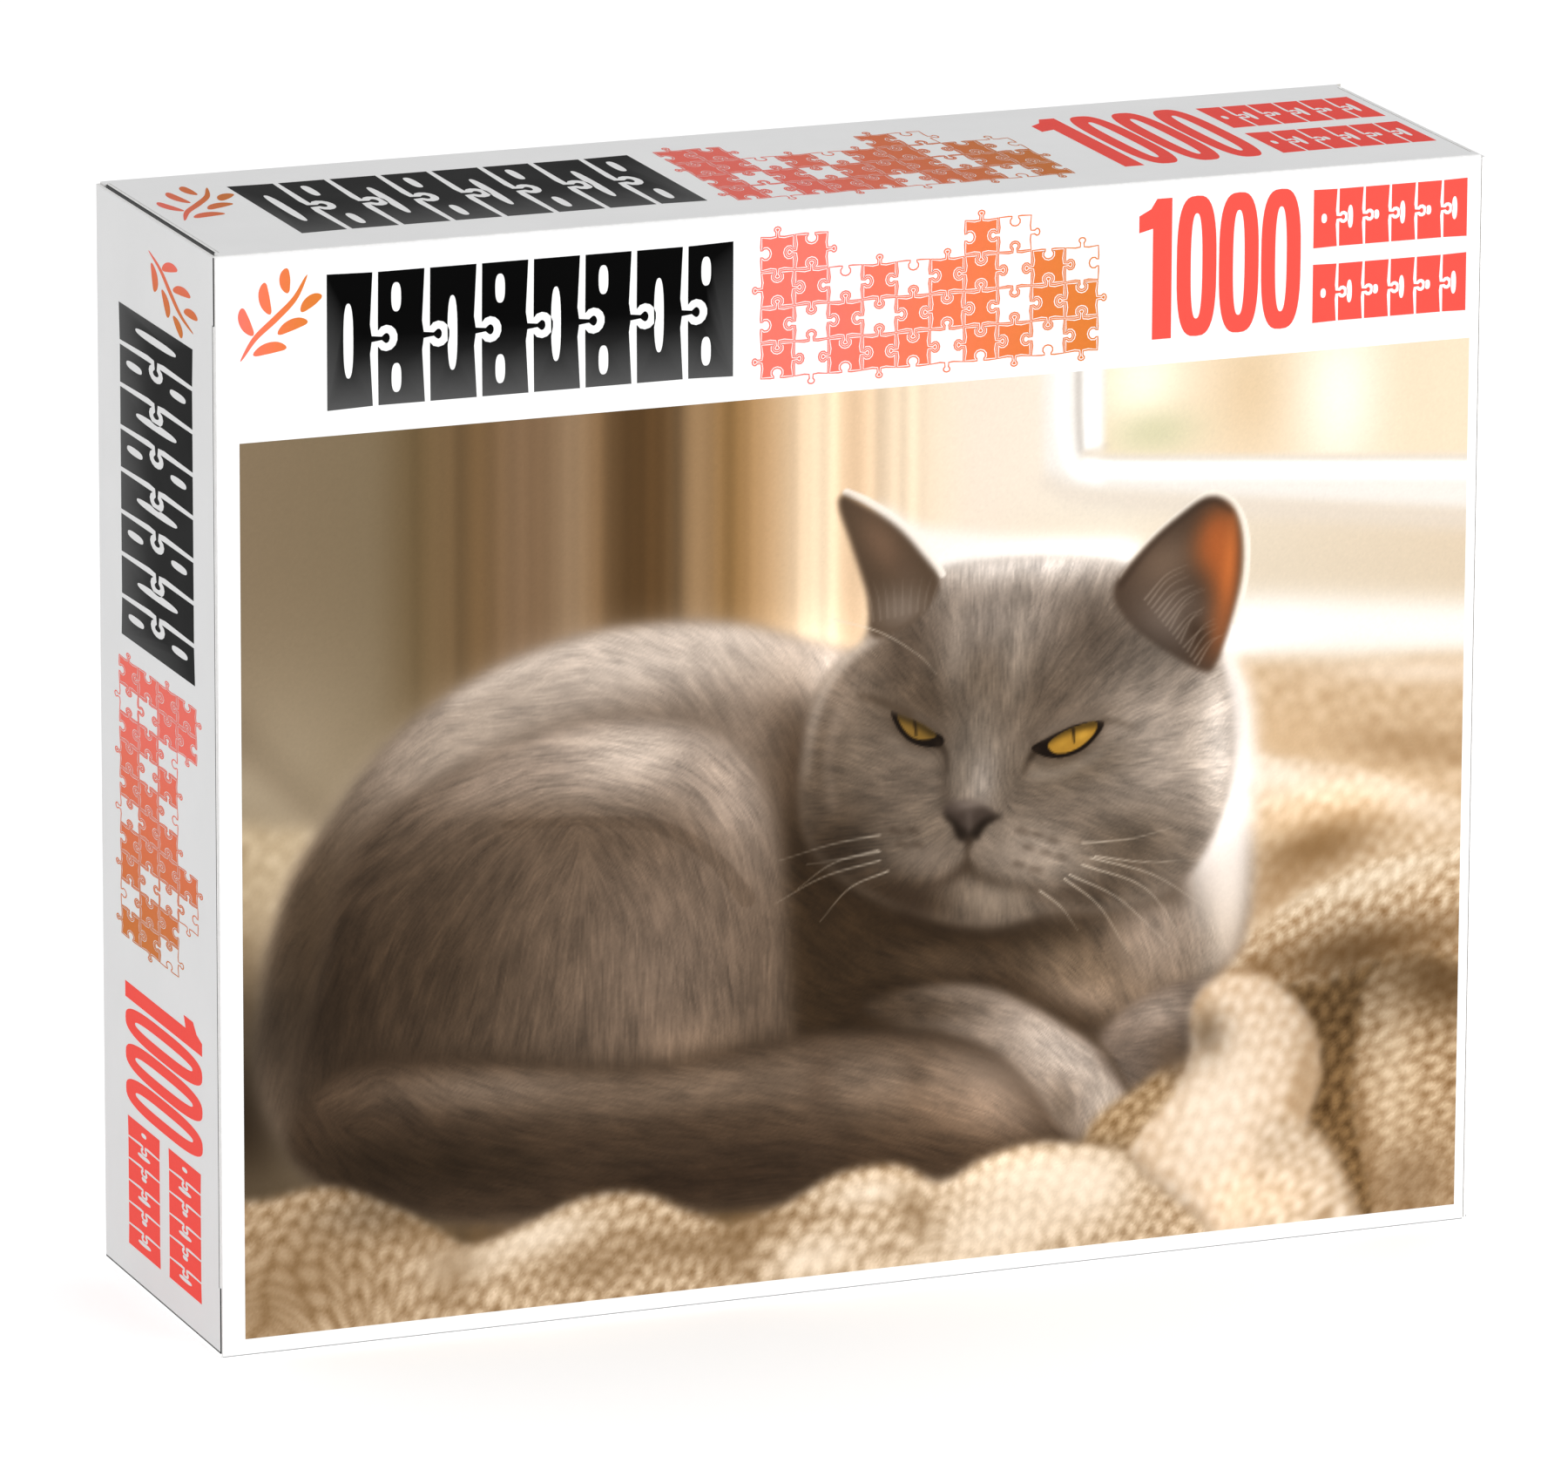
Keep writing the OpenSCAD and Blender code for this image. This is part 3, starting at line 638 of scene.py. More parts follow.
    # Spots at the roots of the whiskers
    for u, v in ((90.4, 51.4), (92.2, 52), (94, 52.8), (91.2, 53.4), (93.2, 54.2), (95, 54.8),
                 (90, 55.2), (92, 56), (75.4, 50), (77.4, 50.2), (76.2, 51.6), (78, 51.8)):
        p.brush((54, 41, 31), [(u - 0.6, v - 0.1), (u, v), (u + 0.6, v + 0.3)], 0.5, 0.4, 0.2, 0.65)
    # Whiskers
    whiskers = [[(73.5, 50.3), (68, 50.8), (61.6, 52.1)], [(73.5, 52.2), (69, 52.6), (65, 52.8)],
                [(73.3, 52), (68, 53), (64, 55.4)], [(73.5, 53.2), (67, 54.4), (61.5, 56.8)],
                [(74.5, 54.5), (70, 56), (66.5, 59.5)],
                [(97.5, 53.5), (103, 53.6), (108.5, 52.7)], [(99, 55.2), (105, 56.4), (111.8, 56.8)],
                [(98.5, 55.3), (106, 58), (112.4, 62.4)], [(97.5, 56), (105, 59.4), (109.4, 65.4)],
                [(96, 57), (102, 60.4), (108, 66.4)], [(95.4, 57.4), (99.6, 61), (103, 66.5)],
                [(92.5, 58.5), (95, 60.6), (97, 63.4)], [(68, 25.4), (73.5, 27.4), (78, 30.4), (80, 32.6)]]
    for line in whiskers:
        p.wash((206, 190, 170), p.stroke(line, 0.2, 0.07) * 0.75)


def paint_picture(step):
    """The whole printed picture: a grey cat asleep on a cream knit blanket by a window."""
    p = Painting(step)
    paint_room(p)
    paint_far_blanket(p)
    paint_body(p)
    paint_near_blanket(p)
    paint_head(p)
    paint_ears(p)
    paint_face(p)
    # Soft light and shade over the whole
    for u, v, ru, rv, gain in (
            (95, 21, 12, 3, 0.14), (65, 30, 7, 5, 0.22), (113.5, 45, 3, 12, 0.22), (128, 52, 9, 3, 0.2),
            (100, 70, 9, 5, 0.36), (84, 83, 11, 6, 0.42), (52, 72, 5, 2.4, 0.3), (120, 97, 7, 4, 0.16),
            (112.5, 77, 3, 3, -0.3), (15, 87, 7, 3, -0.2), (3, 65, 6, 7, -0.3), (82.5, 42, 3, 4, -0.2),
            (70, 52, 6, 3, -0.2), (105, 32, 6, 4, -0.2), (130, 73, 7, 8, -0.2)):
        p.rgb *= 1 + gain * p.glow(u, v, ru, rv)[..., None]
    p.shade(0.006, p.seed.standard_normal(p.u.shape))
    return np.clip(p.rgb, 0, 1)


# ---------------------------------------------------------------- materials
def new_material(name):
    """A material with its own node tree, and short ways to add nodes and join them."""
    material = bpy.data.materials.new(name)
    material.use_nodes = True
    tree = material.node_tree
    shader = tree.nodes["Principled BSDF"]

    def add(kind, **settings):
        node = tree.nodes.new("ShaderNode" + kind)
        for key, value in settings.items():
            if key in node.inputs:
                node.inputs[key].default_value = value
            else:
                setattr(node, key, value)
        return node

    def join(source, socket, node, entry):
        tree.links.new(source.outputs[socket], node.inputs[entry])

    return material, shader, add, join


def ramp(add, stops, **settings):
    """A colour ramp through (place, colour) stops."""
    node = add("ValToRGB", **settings)
    node.color_ramp.elements[0].position = stops[0][0]
    node.color_ramp.elements[1].position = stops[-1][0]
    for place, _ in stops[1:-1]:
        node.color_ramp.elements.new(place)
    for element, (_, colour) in zip(node.color_ramp.elements, stops):
        element.color = (*colour, 1)
    return node


def between(add, join, source, socket, low, high):
    """A value of 0 to 1 carried over to low to high."""
    node = add("MapRange")
    node.inputs["To Min"].default_value = low
    node.inputs["To Max"].default_value = high
    join(source, socket, node, "Value")
    return node


def fixed_math(add, join, operation, value, source, socket):
    """A sum between a socket and a fixed value."""
    node = add("Math", operation=operation)
    node.inputs[1].default_value = value
    join(source, socket, node, 0)
    return node


def paired_math(add, join, operation, first, second):
    """A sum between two other sums."""
    node = add("Math", operation=operation)
    join(first, "Value", node, 0)
    join(second, "Value", node, 1)
    return node


def facing_share(add, join, place, direction):
    """How far a surface faces a direction, -1 to 1."""
    node = add("VectorMath", operation="DOT_PRODUCT")
    node.inputs[1].default_value = direction
    join(place, "Normal", node, 0)
    return node


def choose(add, join, share, socket, first, second):
    """The first colour where the share is 0 and the second where it is 1."""
    node = add("MixRGB")
    join(share, socket, node, "Fac")
    join(first, "Color", node, "Color1")
    join(second, "Color", node, "Color2")
    return node


def grained(add, join, place, **settings):
    """Noise that stays with the object."""
    node = add("TexNoise", **settings)
    join(place, "Object", node, "Vector")
    return node


def toned(add, join, noise, stops):
    """Colours given to a noise."""
    node = ramp(add, stops)
    join(noise, "Fac", node, "Fac")
    return node


def emboss(add, join, shader, noise, strength, distance):
    """A fine relief from a noise."""
    relief = add("Bump", Strength=strength, Distance=distance)
    join(noise, "Fac", relief, "Height")
    join(relief, "Normal", shader, "Normal")


def board_material(name, outside, tone=0.85, foot_line=0.0, top_line=0.0, line_tone=0.05, dark_edge=None):
    """Folding boxboard: white coated on the side that faces outside, grey within, pale and fibrous at
    cut edges. tone is how white the coat is; it is set per panel, lighter on the top and darker on the end
    cards, as painted light and shade. Up to foot_line above the foot and top_line below the top, the outer
    half of a fold is as dark as line_tone, a painted line of shade. So are the cut edges that face dark_edge."""
    material, shader, add, join = new_material(name)
    place = add("TexCoord")
    facing = facing_share(add, join, place, outside)
    mottle = grained(add, join, place, Scale=55.0, Detail=6.0, Roughness=0.6)
    coat = toned(add, join, mottle, [(0.3, (tone - 0.015,) * 3), (0.7, (tone + 0.015,) * 3)])
    fibre = grained(add, join, place, Scale=900.0, Detail=3.0, Roughness=0.7)
    raw = toned(add, join, fibre, [(0.32, (0.50, 0.475, 0.43)), (0.5, (0.60, 0.58, 0.535)),
                                   (0.7, (0.66, 0.64, 0.60))])
    # Cut edges and the curve of each fold: pale fibre, made whiter than the coat as a painted highlight along
    # edges and folds
    edge = toned(add, join, fibre, [(0.3, (0.86, 0.855, 0.845)), (0.65, (0.97, 0.965, 0.96))])
    is_out = ramp(add, [(0.70, (0, 0, 0)), (0.80, (1, 1, 1))])
    is_in = ramp(add, [(0.70, (0, 0, 0)), (0.80, (1, 1, 1))])
    join(facing, "Value", is_out, "Fac")
    turned = fixed_math(add, join, "MULTIPLY", -1.0, facing, "Value")
    join(turned, "Value", is_in, "Fac")
    inner = choose(add, join, is_in, "Color", edge, raw)
    outer = choose(add, join, is_out, "Color", inner, coat)
    # The dark line where a fold or an edge lies in the shade of its neighbour
    split = add("SeparateXYZ")
    join(place, "Object", split, "Vector")
    low = fixed_math(add, join, "LESS_THAN", foot_line, split, "Z")
    high = fixed_math(add, join, "GREATER_THAN", box_h - top_line, split, "Z")
    either = paired_math(add, join, "MAXIMUM", low, high)
    outer_half = fixed_math(add, join, "GREATER_THAN", 0.5, facing, "Value")
    folded = paired_math(add, join, "MULTIPLY", either, outer_half)
    towards = facing_share(add, join, place, dark_edge or (0, 0, 0))
    cut = fixed_math(add, join, "GREATER_THAN", 0.9, towards, "Value")
    shaded = paired_math(add, join, "MAXIMUM", folded, cut)
    lined = add("MixRGB", Color2=(line_tone, line_tone, line_tone, 1))
    join(shaded, "Value", lined, "Fac")
    join(outer, "Color", lined, "Color1")
    join(lined, "Color", shader, "Base Color")
    polish = between(add, join, is_out, "Color", 0.82, 0.42)
    join(polish, "Result", shader, "Roughness")
    shader.inputs["Specular IOR Level"].default_value = 0.28
    emboss(add, join, shader, fibre, 0.12, 0.00006)
    return material


def ink_material(name, gloss):
    """Offset ink on coated board: each vertex's own colour, a fine screen and a nearly matt varnish."""
    material, shader, add, join = new_material(name)
    place = add("TexCoord")
    ink = add("VertexColor", layer_name="ink")
    screen = grained(add, join, place, Scale=1400.0, Detail=2.0)
    strength = between(add, join, screen, "Fac", 0.965, 1.035)
    mixed = add("VectorMath", operation="SCALE")
    join(ink, "Color", mixed, 0)
    join(strength, "Result", mixed, "Scale")
    join(mixed, "Vector", shader, "Base Color")
    wave = grained(add, join, place, Scale=70.0, Detail=3.0)
    sheen = between(add, join, wave, "Fac", gloss - 0.05, gloss + 0.07)
    join(sheen, "Result", shader, "Roughness")
    shader.inputs["Specular IOR Level"].default_value = 0.02
    emboss(add, join, shader, screen, 0.08, 0.00004)
    return material


def film_material(name, opacity):
    """Clear polypropylene film with fine scuffs."""
    material, shader, add, join = new_material(name)
    place = add("TexCoord")
    scuff = grained(add, join, place, Scale=160.0, Detail=5.0, Distortion=1.2)
    shine = between(add, join, scuff, "Fac", 0.06, 0.22)
    join(shine, "Result", shader, "Roughness")
    tone = toned(add, join, scuff, [(0.35, (0.86, 0.89, 0.91)), (0.7, (0.97, 0.98, 0.99))])
    join(tone, "Color", shader, "Base Color")
    shader.inputs["IOR"].default_value = 1.49
    shader.inputs["Alpha"].default_value = opacity
    emboss(add, join, shader, scuff, 0.25, 0.0004)
    return material


def grey_board_material():
    """The pressed grey board at the edges and backs of the pieces."""
    material, shader, add, join = new_material("pressed grey board")
    place = add("TexCoord")
    fleck = grained(add, join, place, Scale=700.0, Detail=4.0, Roughness=0.7)
    tone = toned(add, join, fleck, [(0.3, (0.24, 0.22, 0.19)), (0.5, (0.36, 0.335, 0.30)),
                                    (0.72, (0.46, 0.44, 0.40))])
    join(tone, "Color", shader, "Base Color")
    shader.inputs["Roughness"].default_value = 0.88
    emboss(add, join, shader, fleck, 0.3, 0.0001)
    return material


# ---------------------------------------------------------------- working in the mesh
def linear(colour):
    """A colour given in parts of 255, as light."""
    c = np.asarray(colour, float) / 255
    return np.where(c <= 0.04045, c / 12.92, ((c + 0.055) / 1.055) ** 2.4)


def start_fresh():
    """Nothing selected, object mode."""
    if bpy.context.object and bpy.context.object.mode != "OBJECT":
        bpy.ops.object.mode_set(mode="OBJECT")
    bpy.ops.object.select_all(action="DESELECT")


def only(piece):
    """Select this piece and nothing else."""
    start_fresh()
    piece.select_set(True)
    bpy.context.view_layer.objects.active = piece


def settle(piece, name, *materials):
    """Name a finished piece, put its place in its mesh and give it its materials."""
    only(piece)
    bpy.ops.object.transform_apply(location=True, rotation=True, scale=True)
    piece.name = name
    piece.data.name = name
    piece.data.materials.clear()
    for material in materials:
        piece.data.materials.append(material)
    return piece


def corners(piece):
    """Places of the vertices as an array."""
    co = np.empty(len(piece.data.vertices) * 3)
    piece.data.vertices.foreach_get("co", co)
    return co.reshape(-1, 3)


def move_corners(piece, co):
    """Put the vertices at these places."""
    piece.data.vertices.foreach_set("co", np.asarray(co, float).ravel())
    piece.data.update()


def tint(piece, colours):
    """Keep a colour, as light, at each vertex for the ink material to read."""
    layer = piece.data.color_attributes.new(name="ink", type="FLOAT_COLOR", domain="POINT")
    rgba = np.ones((len(colours), 4))
    rgba[:, :3] = colours
    layer.data.foreach_set("color", rgba.ravel())


class Face:
    """One printed face of the carton: its lower left corner, its text's direction and its up."""

    def __init__(self, corner, right, up):
        self.corner = np.array(corner)
        self.right = np.array(right, float)
        self.up = np.array(up, float)
        self.out = np.cross(self.right, self.up)

    def place(self, u, v, w):
        """Points at u along, v up and w out of the face."""
        return (self.corner + np.multiply.outer(u, self.right) + np.multiply.outer(v, self.up)
                + np.multiply.outer(w, self.out))


front = Face((box_low.x, box_low.y, box_low.z), (1, 0, 0), (0, 0, 1))
back = Face((box_high.x, box_high.y, box_low.z), (-1, 0, 0), (0, 0, 1))
top = Face((box_low.x, box_low.y, box_high.z), (1, 0, 0), (0, 1, 0))
bottom = Face((box_low.x, box_high.y, box_low.z), (1, 0, 0), (0, -1, 0))
left = Face((box_low.x, box_high.y, box_high.z), (0, 0, -1), (0, -1, 0))
right = Face((box_high.x, box_low.y, box_high.z), (0, 0, -1), (0, 1, 0))


def print_flat(name, outlines, face, colour_at, material):
    """Closed outlines printed on a face, as a thin layer of ink. A shape inside another is a hole."""
    curve = bpy.data.curves.new(name, "CURVE")
    curve.dimensions = "2D"
    curve.fill_mode = "BOTH"
    curve.extrude = ink_t / 2
    for outline in outlines:
        spline = curve.splines.new("POLY")
        spline.points.add(len(outline) - 1)
        for point, (x, y) in zip(spline.points, outline):
            point.co = (x, y, 0, 1)
        spline.use_cyclic_u = True
    piece = bpy.data.objects.new(name, curve)
    bpy.context.scene.collection.objects.link(piece)
    only(piece)
    bpy.ops.object.convert(target="MESH")
    piece = bpy.context.object
    bpy.ops.object.mode_set(mode="EDIT")
    bpy.ops.mesh.select_all(action="SELECT")
    bpy.ops.mesh.remove_doubles(threshold=1e-7)
    bpy.ops.mesh.normals_make_consistent(inside=False)
    bpy.ops.object.mode_set(mode="OBJECT")
    co = corners(piece)
    tint(piece, linear([colour_at(u / mm, v / mm) for u, v in co[:, :2]]))
    move_corners(piece, face.place(co[:, 0], co[:, 1], co[:, 2] + ink_t / 2 + print_gap))
    return settle(piece, name, material)


def print_picture(name, face, low, high, colours, material):
    """Part of the picture as a fine closed sheet with a colour at each corner of its mesh.
    low and high are the (row, column) cells that it spans."""
    rows, columns = high[0] - low[0], high[1] - low[1]
    start_fresh()
    bpy.ops.mesh.primitive_grid_add(x_subdivisions=columns, y_subdivisions=rows, size=1)
    piece = bpy.context.object
    bpy.ops.object.mode_set(mode="EDIT")
    bpy.ops.mesh.select_all(action="SELECT")
    bpy.ops.mesh.region_to_loop()
    bpy.ops.mesh.extrude_region_move(TRANSFORM_OT_translate={"value": (0, 0, -1)})
    bpy.ops.mesh.edge_face_add()
    bpy.ops.mesh.select_all(action="SELECT")
    bpy.ops.mesh.normals_make_consistent(inside=False)
    bpy.ops.object.mode_set(mode="OBJECT")
    co = corners(piece)
    column = np.rint((co[:, 0] + 0.5) * columns).astype(int) + low[1]
    row = np.rint((0.5 - co[:, 1]) * rows).astype(int) + low[0]
    tint(piece, linear(colours[row, column] * 255))
    u = picture_left + column / (colours.shape[1] - 1) * picture_w
    v = picture_foot + (1 - row / (colours.shape[0] - 1)) * picture_h
    move_corners(piece, face.place(u, v, np.where(co[:, 2] < -0.5, print_gap, print_gap + ink_t)))
    return settle(piece, name, material)


# ---------------------------------------------------------------- jigsaw outlines
def knob_side(sign, steps):
    """One side of a jigsaw piece from (0, 0) to (1, 0), with a knob outwards, inwards or none."""
    if not sign:
        return [(0.0, 0.0)]
    head = [(0.5 - 0.125 * math.sin(a), 0.155 - 0.105 * math.cos(a))
            for a in np.linspace(math.radians(38), math.radians(322), steps)]
    half = [(0.0, 0.0), (0.3, -0.022), (0.425, -0.01)]
    side = half + head + [(1 - x, y) for x, y in reversed(half[1:])]
    return [(x, y * sign) for x, y in side]


def jigsaw_outline(width, height, knobs, steps=6, knob=1.0):
    """Outline of a piece about (0, 0). knobs are its bottom, right, top and left sides: 1, -1 or 0."""
    size = min(width, height) * knob
    outline = []
    for side, sign in enumerate(knobs):
        along, half = (width, height / 2) if side % 2 == 0 else (height, width / 2)
        turn = side * math.pi / 2
        for x, y in knob_side(sign, steps):
            reach = 0.5 + (x - 0.5) * size / along if 0 < x < 1 else x
            px, py = (reach - 0.5) * along, -half - y * size
            outline.append((px * math.cos(turn) - py * math.sin(turn),
                            px * math.sin(turn) + py * math.cos(turn)))
    return outline


def inset(outline, gap):
    """The same outline drawn in by a gap all round."""
    p = np.array(outline)
    along = np.roll(p, -1, axis=0) - np.roll(p, 1, axis=0)
    inwards = np.column_stack([-along[:, 1], along[:, 0]]) / np.linalg.norm(along, axis=1)[:, None]
    return [tuple(point) for point in p + inwards * gap]


def moved(outline, x, y):
    """The outline shifted by x and y."""
    return [(x + px, y + py) for px, py in outline]


# ---------------------------------------------------------------- the title band
def ellipse_like(x, y, half_w, half_h, power, steps=40):
    """A rounded upright shape between an oval (power 2) and a box."""
    points = []
    for a in np.linspace(0, 2 * math.pi, steps, endpoint=False):
        c, s = math.cos(a), math.sin(a)
        points.append((x + half_w * math.copysign(abs(c) ** (2 / power), c),
                       y + half_h * math.copysign(abs(s) ** (2 / power), s)))
    return points


def nought(x, y, w, h):
    """A bold narrow nought with its lower left corner at x, y."""
    centre = (x + w / 2, y + h / 2)
    return [ellipse_like(*centre, w / 2, h / 2, 3.0), ellipse_like(*centre, w * 0.145, h * 0.375, 2.6)]


def one(x, y, w, h):
    """A bold narrow one with a flag."""
    stem = x + w * 0.42
    return [[(stem, y), (x + w, y), (x + w, y + h), (stem + w * 0.12, y + h), (stem - w * 0.06, y + h * 0.93),
             (x, y + h * 0.885), (x, y + h * 0.765), (stem, y + h * 0.79)]]


def ribbon(points, width):
    """Outline of a smooth band through some points, thin at both ends."""
    line = smooth_line(points, False)
    along = np.gradient(line, axis=0)
    across = np.column_stack([-along[:, 1], along[:, 0]]) / np.linalg.norm(along, axis=1)[:, None]
    swell = width / 2 * (0.12 + 0.88 * np.sin(np.linspace(0, math.pi, len(line))) ** 0.6)
    left_side = line + across * swell[:, None]
    right_side = line - across * swell[:, None]
    return [tuple(point) for point in np.vstack([left_side, right_side[::-1]])]


def flourish():
    """A small ornament: a curved sprig with leaves on both sides."""
    stem = np.array([(4.6, 15.2), (7.4, 19.2), (11.4, 22.6), (15.0, 26.0), (17.4, 30.2)])
    shapes = [ribbon(stem, 1.2)]
    for x, y, turn, length in ((6.0, 22.4, 112, 5.6), (9.8, 26.4, 100, 6.0), (13.6, 29.4, 92, 4.6),
                               (10.2, 16.6, 8, 6.4), (14.6, 20.6, 18, 6.0), (18.2, 24.8, 34, 4.8)):
        a = math.radians(turn)
        along = np.array([math.cos(a), math.sin(a)]) * length / 2
        bend = np.array([-along[1], along[0]]) * 0.18
        leaf = [(x, y) - along, (x, y) - along * 0.3 + bend, (x, y) + along * 0.4 + bend, (x, y) + along]
        shapes.append(ribbon(leaf, 2.1))
    return shapes


def title_outlines():
    """All the shapes of the band, in millimetres from the lower left of the front's band."""
    shapes = flourish()
    # Eight upright black pieces
    columns, left_edge, pitch, foot, tall = 8, 20.4, 10.0, 4.4, 25.8
    for i in range(columns):
        knobs = (0, 1 if i < columns - 1 else 0, 0, -1 if i else 0)
        x, y = left_edge + pitch * (i + 0.5), foot + tall / 2
        shapes.append(moved(inset(jigsaw_outline(pitch, tall, knobs, 12, 1.35), 0.75), x, y))
        for v in ((0,), (-0.29, 0.29))[i % 2]:
            reach = 0.27 if i % 2 == 0 else 0.105
            shapes.append(ellipse_like(x - (1.0 if i % 2 else 0.2), y + tall * v, 0.95, tall * reach, 2.6,
                                       28))
    # A cluster of outlined pieces, taller at some columns, with solid pieces within
    size = 6.7
    rows = (4, 4, 3, 3, 3, 3, 4, 4, 3, 3)
    solid = {(0, 0), (0, 1), (0, 2), (0, 3), (1, 2), (1, 3), (2, 0), (2, 1), (3, 0), (3, 2), (4, 0), (4, 1),
             (5, 1), (5, 2), (6, 0), (6, 1), (6, 2), (6, 3), (7, 0), (8, 1), (8, 2), (9, 0), (9, 1)}
    for i, count in enumerate(rows):
        for j in range(count):
            sign = 1 if (i + j) % 2 else -1
            x, y = 105.0 + size * (i + 0.5), 3.6 + size * (j + 0.5)
            edge = jigsaw_outline(size, size, (sign, -sign, sign, -sign), 9)
            shapes.append(moved(inset(edge, 0.05), x, y))
            shapes.append(moved(inset(edge, 0.32), x, y))
            if (i, j) in solid:
                shapes.append(moved(inset(edge, 0.5), x, y))
    return shapes


def count_outlines():
    """The piece count, and two short rows of small pieces beside it."""
    shapes = one(180.0, 4.8, 6.6, 26.6)
    for i in range(3):
        shapes += nought(187.6 + i * 8.5, 4.8, 8.0, 26.6)
    for foot in (19.4, 5.2):
        for i in range(6):
            knobs = (0, 1 if i < 5 else 0, 0, -1 if i else 0)
            edge = inset(jigsaw_outline(5.3, 11.4, knobs, 10, 1.25), 0.34)
            shapes.append(moved(edge, 217.4 + 5.3 * (i + 0.5) - 2.6, foot + 5.7))
            shapes.append(ellipse_like(217.4 + 5.3 * (i + 0.5) - 2.8, foot + 5.7, 0.55, 2.2 if i % 2 else 0.9,
                                       2.4, 20))
    return shapes


def title_colour(u, v):
    """Colour of the band's ink at a point, in millimetres."""
    def between(a, b, t):
        t = min(max(t, 0), 1)
        return tuple(p + (q - p) * t for p, q in zip(a, b))
    if u < 20.8:
        return between(coral, bronze, (u - 4) / 14)
    if u < 103:
        return between(soft_black, black, (v - 5) / 13)
    if u < 178:
        return between(coral, bronze, (u - 120) / 50)
    return red


# ---------------------------------------------------------------- the carton
facing_out = {
    "front_panel": (0, -1, 0), "back_panel": (0, 1, 0), "top_panel": (0, 0, 1), "bottom_panel": (0, 0, -1),
    "glue_flap": (0, 0, -1), "left_tuck_flap": (0, -1, 0), "right_tuck_flap": (0, 1, 0)}
for side, x in (("left", -1), ("right", 1)):
    for level in ("upper", "lower"):
        facing_out[f"{side}_{level}_dust_flap"] = (x, 0, 0)
# Painted light and shade per panel: the top panel's coat is painted lighter, and the front panel's foot and
# the upper dust flaps' folds get a painted dark line of shade
painted_light_and_shade = {
    "top_panel": {"tone": 0.93}, "front_panel": {"foot_line": 0.4 * mm, "line_tone": 0.3},
    "left_upper_dust_flap": {"top_line": 0.9 * mm}, "right_upper_dust_flap": {"top_line": 0.9 * mm}}
for node, outside in facing_out.items():
    for slot in nodes[node].material_slots:
        slot.material = board_material(node.replace("_", " ") + " board", outside, **painted_light_and_shade.get(node, {}))


def make_end(name, face):
    """An end panel, cut back between its slits for the crease of the tuck flap and a little at the slits
    themselves, with a round fold along its hinge. u runs down from the top and v from the hinge."""
    ear, waist, slit_len, end_gap, thick = 66.4 * mm, 65.9 * mm, 13 * mm, 0.5 * mm, 0.8 * mm
    steps = [(end_gap, 0), (box_h - end_gap, 0), (box_h - end_gap, ear), (box_h - slit_len, ear),
             (box_h - slit_len, waist), (slit_len, waist), (slit_len, ear), (end_gap, ear)]
    start_fresh()
    bpy.ops.mesh.primitive_circle_add(vertices=len(steps), radius=1, fill_type="NGON")
    piece = bpy.context.object
    move_corners(piece, [(u, v, 0) for u, v in steps])
    bpy.ops.object.mode_set(mode="EDIT")
    bpy.ops.mesh.select_all(action="SELECT")
    bpy.ops.mesh.extrude_region_move(TRANSFORM_OT_translate={"value": (0, 0, -thick)})
    bpy.ops.mesh.select_all(action="DESELECT")
    bpy.ops.mesh.select_mode(type="EDGE")
    bpy.ops.object.mode_set(mode="OBJECT")
    co = corners(piece)
    for edge in piece.data.edges:
        edge.select = all(co[end][1] < 1e-6 and co[end][2] > -1e-6 for end in edge.vertices)
    bpy.ops.object.mode_set(mode="EDIT")
    bpy.ops.mesh.bevel(offset=0.78 * mm, segments=8)
    bpy.ops.mesh.select_all(action="SELECT")
    bpy.ops.mesh.normals_make_consistent(inside=False)
    bpy.ops.object.mode_set(mode="OBJECT")
    co = corners(piece)
    move_corners(piece, face.place(co[:, 0], co[:, 1], co[:, 2]))
    # The coat is painted darker (tone 0.75) as shade on the end; the edge in a slit and the foot get painted
    # shade too
    board = board_material(name.replace("_", " ") + " board", tuple(face.out), 0.75,
                           foot_line=0.85 * mm, dark_edge=tuple(face.up))
    return settle(piece, name, board)


for side, face in (("left", left), ("right", right)):
    end = make_end(f"{side}_end_card", face)
    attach(end, f"{side}_end")
    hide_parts(f"{side}_end_panel")

picture = paint_picture(cell)
picture_ink = ink_material("picture ink", 0.42)
title_ink = ink_material("title ink", 0.42)


def add_picture(name, body, face, colours):
    """The picture as two by two closed sheets, each within the size of one mesh."""
    rows = np.linspace(0, colours.shape[0] - 1, 3).astype(int)
    columns = np.linspace(0, colours.shape[1] - 1, 3).astype(int)
    for i in range(2):
        for j in range(2):
            part = f"{name}_{('upper', 'lower')[i]}_{('left', 'right')[j]}"
            sheet = print_picture(part, face, (rows[i], columns[j]), (rows[i + 1], columns[j + 1]),
                                  colours, picture_ink)
            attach(sheet, body)


def add_title(name, body, face, foot, stretch=(1.0, 1.0), start=0.0):
    """The title band on one face. foot is the height of the band's middle on it."""

    def fitted(outlines):
        return [[((start + x * stretch[0]) * mm, foot + (y - band_axis) * stretch[1] * mm)
                 for x, y in outline] for outline in outlines]

    def colour_at(u, v):
        return title_colour((u - start) / stretch[0], (v - foot / mm) / stretch[1] + band_axis)

    piece = print_flat(f"{name}_title", fitted(title_outlines() + count_outlines()), face, colour_at,
                       title_ink)
    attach(piece, body)


side_stretch = (1.0, 1.65)
end_stretch = (0.8, 1.65)
end_start = 3.0
band_middle = box_h - band_h + band_axis * mm
add_picture("front_picture", "tube", front, picture)
add_title("front", "tube", front, band_middle)
add_title("top", "tube", top, box_d / 2, side_stretch)
add_title("bottom", "tube", bottom, box_d / 2, side_stretch)
add_title("back", "tube", back, band_middle)
add_title("left_end", "left_end", left, box_d / 2, end_stretch, end_start)
add_title("right_end", "right_end", right, box_d / 2, end_stretch, end_start)


